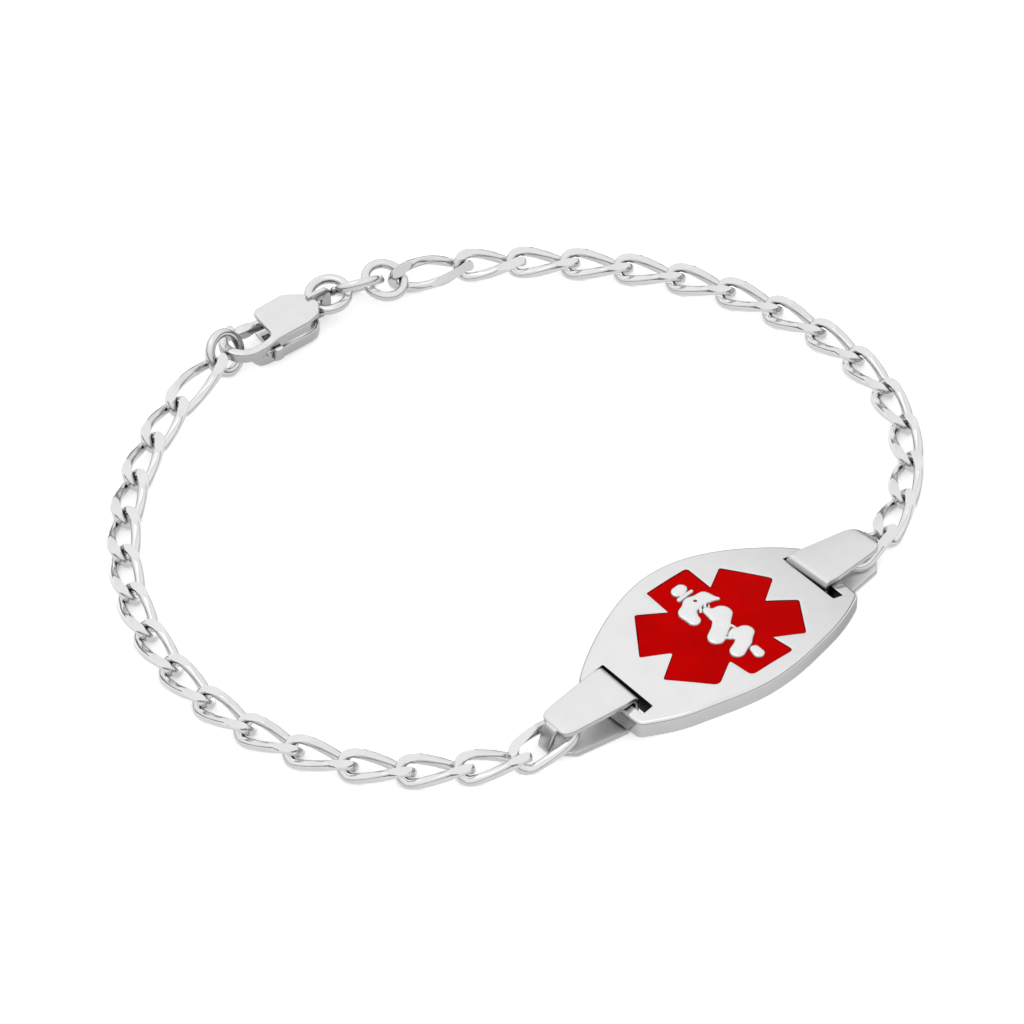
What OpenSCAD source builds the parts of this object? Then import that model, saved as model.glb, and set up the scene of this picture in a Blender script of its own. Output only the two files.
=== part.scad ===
// Medical alert bracelet lying closed on a table: an arched oval plate with a red
// enamel star, a folded strap bail through a slot at each end, two strands of
// flat-cut twisted curb links, and jump rings with a lobster clasp at the back.
// Units are millimetres. The plate's long axis is X, the clasp lies at +Y, Z is up.
// The origin is the centre of the whole loop, on the table.

/* [Plate] */
// length over the arched ends
plate_l = 23; // [19:0.1:26]
// width across the middle
plate_w = 14.65; // [13.8:0.05:17]
// metal thickness
plate_t = 1.45; // [1.1:0.05:1.7]
// radius of the two long sides
plate_side_r = 17.2; // [15:0.1:20]
// radius of the four corners
plate_corner_r = 0.8; // [0.4:0.05:1.1]
// radius of the arch over the wrist
plate_bend_r = 38.8; // [33:0.1:60]
// metal left outside a slot
slot_rim = 1.15; // [0.8:0.05:2]
// least metal beside the ends of a slot
slot_side_rim = 0.4; // [0.3:0.05:0.8]

/* [Star and relief] */
// star's reach from the middle to the end of an arm
star_r = 6.25; // [5:0.05:6.6]
// width of a star arm
star_arm_w = 4.05; // [3.6:0.05:4.6]
// depth of the star's floor under the plate's face
star_depth = 0.35; // [0.2:0.05:0.6]
// how far the enamel lies under the plate's face
enamel_drop = 0.05; // [0:0.01:0.1]
// room between the enamel and the metal round it
enamel_gap = 0.03; // [0.02:0.005:0.06]
// staff over knob and foot
relief_l = 9.6; // [7.5:0.1:10]
// how far the staff and serpent rise over the plate's face
relief_rise = 0.08; // [0:0.01:0.2]

/* [Bails] */
// strap thickness
strap_t = 0.45; // [0.35:0.05:0.6]
// strap width in the slot
bail_w = 4.5; // [3.5:0.05:4.8]
// width of the two plies at the chain end
bail_end_w = 2.9; // [2.4:0.05:3.3]
// width of the fold that the end link hangs on
bail_neck_w = 1.3; // [1:0.05:1.4]
// reach from the slot's middle to the outside of the fold
bail_reach = 6.65; // [5.5:0.05:8]
// height of the chain end
bail_end_h = 2.35; // [2.1:0.05:2.8]
// how much further the lower ply reaches than the upper one
bail_lean = 0.4; // [0:0.05:0.8]
// outer radius of the folds
bail_fold_r = 0.6; // [0.5:0.05:0.8]
// corner radius of the plies
bail_corner_r = 0.55; // [0.2:0.05:0.8]
// room between the strap and a slot's long sides
slot_play = 0.275; // [0.2:0.025:0.4]
// room between the strap and a slot's ends
slot_side_play = 0.7; // [0.6:0.05:1]
// height between the lower ply and the plate's ends
plate_over_strap = 0.13; // [0.1:0.01:0.25]
// height between the upper ply and the plate's edge
bail_over_gap = 0.2; // [0.15:0.05:0.4]

/* [Chain] */
// distance from joint to joint
link_pitch = 4.5; // [4.2:0.05:5]
// joint distance of the link next to the clasp
clasp_link_pitch = 5.8; // [5.2:0.05:6.4]
// wire thickness
link_wire = 0.82; // [0.7:0.01:0.86]
// overall width of a link
link_w = 2.8; // [2.76:0.01:3.1]
// height left by the flat cuts
link_h = 1.56; // [1.4:0.02:1.7]
// quarter twist of a link, from its middle to its end
link_twist = 45; // [40:1:48]
// width of the bail end of an end link
end_link_w = 3.6; // [3.5:0.05:4]
// width of the clasp link at its ring
clasp_link_w = 2.95; // [2.8:0.05:3.2]
// room between hooked pieces
joint_gap = 0.16; // [0.12:0.01:0.2]
// links of the left strand without its end link
left_links = 15; // [13:1:17]
// links of the right strand without its end link
right_links = 14; // [12:1:16]

/* [Rings] */
// wire of the rings
ring_wire = 0.8; // [0.7:0.01:0.85]
// radius of the three plain rings to the middle of the wire
ring_r = 1.65; // [1.6:0.05:1.9]
// the same of the slanting ring between two plain ones
mid_ring_r = 2; // [1.9:0.05:2.3]
// slant of the middle ring
mid_ring_tilt = 46; // [42:1:60]
// how far one ring hangs back in the next
ring_play = 0.2; // [0.1:0.05:0.3]

/* [Clasp] */
// height of the body over lid and base
clasp_h = 2.35; // [2.3:0.05:2.8]
// how high the clasp lies over the table, between its rings
clasp_lift = 0.2; // [0:0.05:0.3]
// sheet of the lid and the base
clasp_sheet = 0.4; // [0.3:0.05:0.45]
// length of the body without hook and tail
clasp_body_l = 5.5; // [5.2:0.1:6.5]
// width of the body
clasp_w = 4.3; // [4.2:0.05:4.8]
// radius of the hook to the middle of its bar
hook_r = 1.72; // [1.7:0.02:2]
// width of the hook's bar
hook_w = 0.78; // [0.65:0.01:0.82]
// height of the hook's bar
hook_h = 1; // [0.85:0.05:1.05]
// length of the tail beyond the body
tail_l = 1.4; // [1.3:0.05:2]
// width of the tail
tail_w = 1; // [0.8:0.05:1.1]
// thickness of the lever
lever_t = 0.8; // [0.6:0.05:1]
// width of the lever's arms
lever_w = 0.76; // [0.6:0.02:0.8]
// radius of the pivot pin
pin_r = 0.3; // [0.25:0.05:0.4]
// running room of the lever on its pin and at its tip
lever_gap = 0.1; // [0.08:0.01:0.15]

/* [Hidden] */
$fn = 0;
// the two strands' curves, relative to their bail ends, and how they start there
left_route = [[0, 0], [-22.3, 7.8], [-19.9, 43.6], [9.8, 51]];
right_route = [[0, 0], [24.2, 10.6], [10.7, 44.6], [-9.7, 49.2]];
// how far each end link hangs back in its bail, and its direction in plan
end_play = [0.9, 1.6];
end_reach = 0.04;
end_rise = [-0.05, 0.18];
end_turn = [1, 6];
// height of the lying chain over the table, and of an end link in its bail over the middle
floor_play = 0.03;
end_up = 0.1;
// height over the lying chain at the joints next to the clasp, and roll of the links
left_lift = [0.92, 0.52, 0.24, 0.03];
right_lift = [0.72, 0.32, 0.1];
left_roll = [-8, -10, -5];
right_roll = [58, 15];
// each bail's turn in its slot and its sideways place there
bail_turn = [1, 4];
bail_shift = [0.4, 0.5];

// plate
plate_in_r = plate_bend_r - plate_t;
plate_lift = strap_t + plate_over_strap;
bend_z = plate_lift - sqrt(pow(plate_in_r, 2) - pow(plate_l / 2, 2));
slot_w = strap_t + 2 * slot_play;
slot_l = bail_w + 2 * slot_side_play;
slot_x = plate_l / 2 - slot_rim - slot_w / 2;
plate_wide = 2 * (plate_w + plate_l);
plate_tall = plate_w;

// chain
bow_r = (link_w - link_wire) / 2;
end_bow_r = (end_link_w - link_wire) / 2;
end_in_r = (bow_r + end_bow_r) / 2;
clasp_bow_r = (clasp_link_w - link_wire) / 2;
lap = (link_wire + joint_gap) / 2;
chain_z = link_h / 2 + floor_play;
quart = [0, 30, 60, 90, 120, 150, 180];

// bails
over_z = bend_z + sqrt(pow(plate_bend_r, 2) - pow(slot_x + slot_w / 2, 2)) + bail_over_gap;
neck_in = bail_reach - strap_t;
ply_end = neck_in;
bail_z = bail_end_h / 2 + end_up;

// where each end link meets its bail, and its first joint: side 0 left, side 1 right
function spin(a, p) = [cos(a) * p[0] - sin(a) * p[1], sin(a) * p[0] + cos(a) * p[1]];
function flip(side, p) = side == 0 ? [-p[0], p[1]] : p;
function bail_spot(side, x) =
    flip(side, [slot_x, bail_shift[side]] + spin(bail_turn[side], [x, 0]));
function end_spot(side) =
    bail_spot(side, neck_in - joint_gap - link_wire / 2 - end_play[side] + lap);
function start_spot(side) =
    end_spot(side) + flip(side, link_pitch * [cos(end_turn[side]), sin(end_turn[side])]);

// the strands' curves
steps = 60;
function bez(p, t) =
    pow(1 - t, 3) * p[0] + 3 * pow(1 - t, 2) * t * p[1]
    + 3 * (1 - t) * t * t * p[2] + pow(t, 3) * p[3];
function ruler(p) = [
    for (i = 0, s = 0; i <= steps;
        s = s + norm(bez(p, min(1, (i + 1) / steps)) - bez(p, i / steps)), i = i + 1)
        [s, i / steps]];
left_ruler = ruler(left_route);
right_ruler = ruler(right_route);
left_total = (left_links - 1) * link_pitch + clasp_link_pitch;
right_total = (right_links - 1) * link_pitch + clasp_link_pitch;
function along(route, rule, total, s) =
    bez(route, lookup(s / total * rule[steps][0], rule)) * total / rule[steps][0];

// the clasp group, seen from the left strand's last joint
ring_lap = (ring_wire + joint_gap) / 2;
hang = ring_r - ring_lap;
hook_ring_tilt = 62;
hook_ring_z = ring_r * sin(hook_ring_tilt) + ring_wire / 2;
hook_ring_way = [0.966, 0.26];
hook_ring_at = hang * hook_ring_way;
hook_x = -3.2;
hook_play = 0.49;
clasp_y = 0.54;
clasp_at = [hook_ring_at[0] + ring_r * hook_ring_way[0] - hook_x + hook_r - hook_w / 2
    - ring_wire / 2 - hook_play, clasp_y];
body_x = -1.2;
tail_x = body_x + clasp_body_l + tail_l;
tail_y = 0.45;
tail_play = 0.45;
tail_ring_y = 0.15;
tail_ring_at = clasp_at
    + [tail_x - clasp_sheet - ring_wire / 2 - joint_gap - tail_play + ring_r,
        tail_y + tail_ring_y];
run_turn = -16.6;
run_l = 2 * (ring_r + mid_ring_r - 2 * ring_lap - ring_play);
mid_z = mid_ring_r * sin(mid_ring_tilt) + ring_wire / 2;
ring_drop = 0.14;
tail_ring_z = mid_z - ring_drop;
tail_ring_tilt = 8;
tail_ring_lean = 8;
chain_ring_lean = 18;
mid_ring_at = tail_ring_at + spin(run_turn, [run_l / 2, 0]);
last_ring_at = tail_ring_at + spin(run_turn, [run_l, 0]);
run_end = last_ring_at + spin(-15, [1.015 * hang, 0]);

// closing the loop: the right strand turns about its bail until it meets the group
left_end = start_spot(0) + along(left_route, left_ruler, left_total, left_total);
right_start = start_spot(1);
right_chord = along(right_route, right_ruler, right_total, right_total);
base_v = right_start - left_end;
base_l = norm(base_v);
meet_x = (pow(base_l, 2) + pow(norm(run_end), 2) - pow(norm(right_chord), 2)) / (2 * base_l);
meet_y = sqrt(max(0, pow(norm(run_end), 2) - pow(meet_x, 2)));
right_end = left_end + spin(atan2(base_v[1], base_v[0]), [meet_x, meet_y]);
right_turn = atan2((right_end - right_start)[1], (right_end - right_start)[0])
    - atan2(right_chord[1], right_chord[0]);
group_turn = atan2((right_end - left_end)[1], (right_end - left_end)[0])
    - atan2(run_end[1], run_end[0]);

// joints, counted from the bail, with their heights
function lift(list, k) = k >= 0 && k < len(list) ? list[k] : 0;
function left_joint(i) = concat(
    start_spot(0) + along(left_route, left_ruler, left_total,
        i < left_links ? i * link_pitch : left_total),
    chain_z + lift(left_lift, left_links - i));
function right_joint(i) = concat(
    right_start + spin(right_turn, along(right_route, right_ruler, right_total,
        i < right_links ? i * link_pitch : right_total)),
    chain_z + lift(right_lift, right_links - i));

// an end link reaches a little further, since the chain turns there
function end_joint(side, j) =
    j + end_reach * unit(j - concat(end_spot(side), j[2])) + [0, 0, end_rise[side]];

// middle of the whole loop, where the origin goes
left_most = min([for (i = [0 : left_links]) left_joint(i)[0]]) - link_w / 2;
right_most = max([for (i = [0 : right_links]) right_joint(i)[0]]) + link_w / 2;
far_most = left_end[1] + max(clasp_at[1] + 0.52 * clasp_w, tail_ring_at[1] + ring_r + ring_wire / 2);
middle = [(left_most + right_most) / 2, (far_most - plate_w / 2) / 2];

// names of the separate pieces

// a bar with round ends
module bar(p, q, w) {
    translate(p) circle(d = w);
    translate(q) circle(d = w);
    translate(p) rotate(atan2(q[1] - p[1], q[0] - p[0]))
        translate([0, -w / 2]) square([norm(q - p), w]);
}

// a convex outline, counter-clockwise, with each corner rounded
function unit(v) = v / norm(v);
module rounded(pts, r) {
    n = len(pts);
    cuts = [for (i = [0 : n - 1])
        let (a = unit(pts[(i + n - 1) % n] - pts[i]), b = unit(pts[(i + 1) % n] - pts[i]),
            half = acos(a * b) / 2)
        [pts[i] + a * r / tan(half), pts[i] + b * r / tan(half),
            pts[i] + unit(a + b) * r / sin(half)]];
    polygon([for (c = cuts) each [c[0], c[1]]]);
    for (c = cuts) translate(c[2]) circle(r);
}

// plate outline: two arcs, square ends, rounded corners
module plate_outline() {
    half_l = plate_l / 2;
    arc_y = plate_w / 2 - plate_side_r;
    corner = [half_l - plate_corner_r, max(slot_l / 2 + slot_side_rim - plate_corner_r, arc_y
        + sqrt(pow(plate_side_r - plate_corner_r, 2) - pow(half_l - plate_corner_r, 2)))];
    far = corner + 3 * plate_corner_r * unit(corner - [0, arc_y]);
    square([plate_l, 2 * corner[1]], center = true);
    square(2 * corner + [0, 2 * plate_corner_r], center = true);
    for (sx = [-1, 1], sy = [-1, 1])
        translate([sx * corner[0], sy * corner[1]]) circle(plate_corner_r);
    intersection() {
        translate([0, arc_y]) circle(plate_side_r);
        translate([0, -arc_y]) circle(plate_side_r);
        polygon([corner, far, [0, plate_w], [-far[0], far[1]], [-corner[0], corner[1]],
            -corner, -far, [0, -plate_w], [far[0], -far[1]], [corner[0], -corner[1]]]);
    }
}

// part of the arched sheet between two radii
module arch(r_in, r_out) {
    translate([0, 0, bend_z]) rotate([90, 0, 0]) difference() {
        cylinder(h = plate_wide, r = r_out, center = true);
        cylinder(h = 2 * plate_wide, r = r_in, center = true);
    }
}

module star_outline(shrink) {
    for (a = [90, 30, -30]) rotate(a)
        square([2 * (star_r - shrink), star_arm_w - 2 * shrink], center = true);
}

// serpent: bars in shares of the staff's length: from x, y to x, y, and width
serpent = [
    [-0.12, 0.15, -0.12, 0.28, 0.115],
    [-0.12, 0.28, 0.02, 0.31, 0.115],
    [0.02, 0.31, 0.14, 0.225, 0.085],
    [-0.12, -0.11, 0.12, 0.05, 0.125],
    [-0.1, -0.33, 0.1, -0.22, 0.105]];

module relief_outline(grow) {
    u = relief_l;
    bar([0, 0.42] * u, [0, -0.44] * u, 0.06 * u + 2 * grow);
    translate([0, 0.48 * u]) circle(0.05 * u + grow);
    translate([0, -0.45 * u]) circle(0.05 * u + grow);
    bar([-0.08, 0.41] * u, [0.08, 0.41] * u, 0.05 * u + 2 * grow);
    for (s = serpent) bar([s[0], s[1]] * u, [s[2], s[3]] * u, s[4] * u + 2 * grow);
}

module plate() {
    color([0.86, 0.87, 0.88]) difference() {
        union() {
            intersection() {
                linear_extrude(height = plate_tall) plate_outline();
                arch(plate_in_r, plate_bend_r);
            }
            intersection() {
                linear_extrude(height = plate_tall) relief_outline(0);
                arch(plate_bend_r - star_depth, plate_bend_r + relief_rise);
            }
        }
        intersection() {
            linear_extrude(height = plate_tall) difference() {
                star_outline(0);
                relief_outline(0);
            }
            arch(plate_bend_r - star_depth, plate_bend_r + plate_t);
        }
        for (s = [-1, 1]) translate([s * slot_x, 0, 0])
            linear_extrude(height = plate_tall) square([slot_w, slot_l], center = true);
    }
}

module enamel_star() {
    color([0.75, 0.02, 0.04]) intersection() {
        linear_extrude(height = plate_tall) difference() {
            star_outline(enamel_gap);
            relief_outline(enamel_gap);
        }
        arch(plate_bend_r - star_depth + enamel_gap, plate_bend_r - enamel_drop);
    }
}

// a folded strap loop, its web at the slot, reaching along +X
module bail() {
    top = over_z + strap_t;
    intersection() {
        rotate([90, 0, 0]) linear_extrude(height = 2 * bail_w, center = true) difference() {
            rounded([[-strap_t / 2, 0], [bail_reach + bail_lean, 0], [bail_reach, bail_end_h],
                [-strap_t / 2, top]], bail_fold_r);
            rounded([[strap_t / 2, strap_t], [neck_in + bail_lean, strap_t],
                [neck_in, bail_end_h - strap_t], [strap_t / 2, over_z]],
                bail_fold_r - strap_t);
        }
        translate([0, 0, -strap_t]) linear_extrude(height = top + 2 * strap_t) {
            rounded([[-strap_t, -bail_w / 2], [ply_end, -bail_end_w / 2],
                [ply_end, bail_end_w / 2], [-strap_t, bail_w / 2]], bail_corner_r);
            translate([-strap_t, -bail_w / 2]) square([2 * strap_t, bail_w]);
            translate([strap_t, -bail_neck_w / 2])
                square([bail_reach + bail_lean, bail_neck_w]);
        }
    }
}

module bail_on(side) {
    color([0.82, 0.83, 0.85]) mirror([side == 0 ? 1 : 0, 0, 0])
        translate([slot_x, bail_shift[side], 0]) rotate(bail_turn[side]) bail();
}

// a twisted link of six-sided wire along X, cut flat above and below:
// bow radius and twist at -X, the same at +X, and the distance of its joints
function cut(v) = [v[0], v[1], max(-link_h / 2, min(link_h / 2, v[2]))];
function side_spot(r1, r2, half, t, s) =
    [(1 - t) * (half - r2) + t * (r1 - half), s * ((1 - t) * r2 + t * r1), 90 * s];
function ring_of(r1, r2, half) = concat(
    [for (a = quart) [half - r2 + r2 * sin(a), -r2 * cos(a), a - 90]],
    [for (t = [1/3, 2/3]) side_spot(r1, r2, half, t, 1)],
    [for (a = quart) [r1 - half - r1 * sin(a), r1 * cos(a), a + 90]],
    [for (t = [2/3, 1/3]) side_spot(r1, r2, half, t, -1)]);

module link(r1, tw1, r2, tw2, pitch) {
    half = pitch / 2 + lap;
    flat = ring_of(r1, r2, half);
    n = len(flat);
    tw = [for (p = flat) tw1 + (tw2 - tw1) * min(1, max(0, (p[0] + pitch / 2) / pitch))];
    at = [for (i = [0 : n - 1]) [flat[i][0], flat[i][1] * cos(tw[i]), flat[i][1] * sin(tw[i])]];
    rows = [for (i = [0 : n - 1])
        let (t = unit(unit(at[(i + 1) % n] - at[i]) + unit(at[i] - at[(i + n - 1) % n])),
            o = [cos(flat[i][2]), sin(flat[i][2]) * cos(tw[i]), sin(flat[i][2]) * sin(tw[i])],
            out = unit(o - t * (o * t)),
            side = cross(t, out))
        for (k = [0 : 5]) cut(at[i] + link_wire / 2 * (cos(60 * k) * out + sin(60 * k) * side))];
    faces = [for (i = [0 : n - 1], k = [0 : 5])
        let (j = (i + 1) % n, m = (k + 1) % 6)
        each [[6 * i + k, 6 * j + k, 6 * j + m], [6 * i + k, 6 * j + m, 6 * i + m]]];
    polyhedron(points = rows, faces = faces, convexity = 6);
}

// a link from its clasp-side joint to its bail-side joint
module link_at(a, b, r1, tw1, r2, tw2, roll) {
    way = b - a;
    color([0.84, 0.85, 0.87]) translate((a + b) / 2)
        rotate([0, 0, atan2(way[1], way[0])])
        rotate([0, -asin(way[2] / norm(way)), 0])
        rotate([roll, 0, 0]) link(r1, tw1, r2, tw2, norm(way));
}

// links are counted from the clasp; the last one hangs in the bail
module left_link(i) {
    k = left_links - i;
    if (k >= 0)
        link_at(left_joint(k + 1), left_joint(k), i == 1 ? clasp_bow_r : bow_r, link_twist,
            bow_r, lift(left_roll, i) - lift(left_roll, i - 1) - link_twist,
            lift(left_roll, i - 1));
    else
        link_at(end_joint(0, left_joint(0)), concat(end_spot(0), bail_z), end_in_r, link_twist,
            end_bow_r, -14, 0);
}

module right_link(i) {
    k = right_links - i;
    if (k >= 0)
        link_at(right_joint(k + 1), right_joint(k), i == 1 ? clasp_bow_r : bow_r, link_twist,
            bow_r, lift(right_roll, i) - lift(right_roll, i - 1) - link_twist,
            lift(right_roll, i - 1));
    else
        link_at(end_joint(1, right_joint(0)), concat(end_spot(1), bail_z), end_in_r, link_twist,
            end_bow_r, -14, 0);
}

module in_group() {
    translate(left_end) rotate(group_turn) children();
}

module ring(r) {
    color([0.84, 0.85, 0.87]) rotate_extrude() translate([r, 0]) circle(d = ring_wire);
}

module hook_ring() {
    in_group() translate(concat(hook_ring_at, hook_ring_z)) rotate([0, 0, -75])
        rotate([0, hook_ring_tilt, 0]) ring(ring_r);
}

module tail_ring() {
    in_group() translate(concat(tail_ring_at, tail_ring_z)) rotate([0, 0, run_turn])
        rotate([tail_ring_lean, -tail_ring_tilt, 0]) ring(ring_r);
}

module middle_ring() {
    in_group() translate(concat(mid_ring_at, mid_z)) rotate([0, 0, run_turn])
        rotate([-mid_ring_tilt, 0, 0]) ring(mid_ring_r);
}

module chain_ring() {
    in_group() translate(concat(last_ring_at, tail_ring_z)) rotate([0, 0, run_turn])
        rotate([chain_ring_lean, tail_ring_tilt, 0]) ring(ring_r);
}

// body outline in shares of the body's length and width
lid_shape = [[0, -0.48], [0.62, -0.45], [0.84, -0.36], [1, -0.09], [0.9, 0.29],
    [0.64, 0.52], [0.05, 0.47]];
hook_y = -0.05;
pin_at = [body_x + 0.39 * clasp_body_l, 0.95];
gate_y = 1.48;
// lid corners, the hook's straight root with its wall, and its nose over the gate
lid_corner_r = 0.45;
root_l = 0.9;
root_step = 0.1;
nose_l = 0.15;
lid_lap = 0.1;
// wall behind the lever's tab: where it starts, its length and thickness
wall_x = 1.6;
wall_l = 1.7;
wall_t = 0.35;
// the lever's tab and the rim of its eye
tab_x = 1.6;
tab_y = 1.6;
tab_l = 0.4;
tab_grow = 0.15;
eye_rim = 0.4;

module lid_outline() {
    rounded([for (s = lid_shape) [body_x + s[0] * clasp_body_l, s[1] * clasp_w]], lid_corner_r);
    translate([hook_x, hook_y - hook_r - hook_w / 2]) square([-hook_x, hook_w]);
    translate([body_x + clasp_body_l / 2, tail_y - tail_w / 2])
        square([tail_x - body_x - clasp_body_l / 2, tail_w]);
}

module sheet_at(z) {
    translate([0, 0, z]) linear_extrude(height = clasp_sheet) lid_outline();
}

module clasp_body() {
    hook_top = clasp_h - clasp_sheet + lid_lap;
    in_group() translate(concat(clasp_at, clasp_lift)) color([0.85, 0.86, 0.88]) {
        sheet_at(0);
        sheet_at(clasp_h - clasp_sheet);
        // half-round hook with a straight root, joined to both sheets
        translate([hook_x, hook_y, hook_top - hook_h]) linear_extrude(height = hook_h) {
            difference() {
                circle(hook_r + hook_w / 2);
                circle(hook_r - hook_w / 2);
                translate([0, -2 * hook_r]) square([2 * hook_r, 4 * hook_r]);
            }
            translate([0, -hook_r - hook_w / 2]) square([root_l, hook_w]);
            translate([-nose_l / 2, hook_r - hook_w / 2]) square([1.5 * nose_l, hook_w]);
        }
        translate([hook_x + root_step, hook_y - hook_r - hook_w / 2, 0])
            cube([root_l - root_step, hook_w, hook_top]);
        // side wall behind the lever's tab, tail strap and pivot pin
        translate([body_x + wall_x, -0.46 * clasp_w, clasp_sheet / 2])
            cube([wall_l, wall_t, clasp_h - clasp_sheet]);
        translate([tail_x - clasp_sheet, tail_y - tail_w / 2, 0])
            cube([clasp_sheet, tail_w, clasp_h]);
        translate(pin_at) cylinder(h = clasp_h, r = pin_r);
    }
}

module clasp_lever() {
    tip = [hook_x + nose_l + lever_gap + lever_w / 2, gate_y];
    tab = [hook_x + tab_x, -tab_y];
    in_group() translate(concat(clasp_at, clasp_lift + (clasp_h - lever_t) / 2))
        color([0.8, 0.81, 0.83]) linear_extrude(height = lever_t) difference() {
            union() {
                bar(tip, pin_at + [0, 0.2], lever_w);
                bar(pin_at, tab, lever_w);
                bar(tab, tab - [0, tab_l], lever_w + tab_grow);
                translate(pin_at) circle(pin_r + lever_gap + eye_rim);
            }
            translate(pin_at) circle(pin_r + lever_gap);
        }
}

module placed() {
    translate([-middle[0], -middle[1], 0]) children();
}

placed() plate();
placed() enamel_star();
placed() bail_on(0);  // left_bail
placed() bail_on(1);  // right_bail
for (i = [1 : left_links + 1])
    placed() left_link(i);
for (i = [1 : right_links + 1])
    placed() right_link(i);
placed() hook_ring();
placed() tail_ring();
placed() middle_ring();
placed() chain_ring();
placed() clasp_body();
placed() clasp_lever();
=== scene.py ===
"""Looks of a medical alert bracelet that lies closed on a table.

An arched oval plate carries a red enamel star with a raised staff and serpent.
A folded strap bail goes through a slot at each end of the plate, two strands of
flat-cut curb links hang in the bails, and jump rings with a lobster clasp close
the loop. All sizes in the classes are millimetres and degrees, in the frame of
the solids; meshes are written in metres.
"""
import logging
import math
from dataclasses import dataclass
from enum import Enum, IntEnum
from itertools import accumulate, product
from typing import Callable, Iterable, Iterator, Optional, Sequence

import bmesh
import bpy
from mathutils import Matrix, Vector
from mathutils.geometry import delaunay_2d_cdt


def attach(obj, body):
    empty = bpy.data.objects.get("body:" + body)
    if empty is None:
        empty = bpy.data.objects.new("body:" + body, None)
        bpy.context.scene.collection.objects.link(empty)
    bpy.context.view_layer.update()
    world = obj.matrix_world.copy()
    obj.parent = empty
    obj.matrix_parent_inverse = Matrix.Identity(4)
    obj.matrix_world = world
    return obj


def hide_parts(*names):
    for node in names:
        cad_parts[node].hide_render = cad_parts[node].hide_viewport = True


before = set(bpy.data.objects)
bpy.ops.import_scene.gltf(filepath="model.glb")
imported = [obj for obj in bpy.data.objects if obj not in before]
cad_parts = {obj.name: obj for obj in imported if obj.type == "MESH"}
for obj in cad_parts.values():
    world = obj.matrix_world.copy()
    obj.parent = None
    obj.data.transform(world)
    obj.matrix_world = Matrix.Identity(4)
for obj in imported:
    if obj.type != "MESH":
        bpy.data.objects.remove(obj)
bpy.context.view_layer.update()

Tone = float | tuple[float, float, float]
Socket = bpy.types.NodeSocket
Point2 = tuple[float, float]
Loop = list[Point2]
Edge = tuple[list[int], Loop]
Warp = Callable[[float, float, float], Vector]
Test = Callable[[Vector, Vector], bool]

LOG = logging.getLogger("bracelet")
MM = 0.001
# Points closer than this are one, and the support points stand this far in from a face's edge.
WELD, SUPPORT = 1e-5, 0.08
ALONG, ACROSS, RISE = (Vector(axis) for axis in ((1.0, 0.0, 0.0), (0.0, 1.0, 0.0), (0.0, 0.0, 1.0)))


class Body(Enum):
    """Rigid bodies of the solids that pieces ride on."""

    BRACELET = "bracelet"
    LEVER = "lever"


class Side(IntEnum):
    """The two ends of the plate, as its face is read; they index the tables by side."""

    LEFT = 0
    RIGHT = 1

    def label(self, words: str) -> str:
        """Puts the side's name before a piece's name."""
        return f"{self.name.lower()}_{words}"

    def place(self, point: Point2) -> Point2:
        """Puts a point that is given for the right side on this side."""
        return (-point[0], point[1]) if self is Side.LEFT else point


class Blend(Enum):
    """Ways to put two colours together."""

    MIX = "MIX"
    MULTIPLY = "MULTIPLY"


def paint(tone: Tone) -> tuple[float, ...]:
    """Gives a full colour; one number is a grey."""
    return (*tone, 1.0) if isinstance(tone, tuple) else (tone, tone, tone, 1.0)


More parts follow.
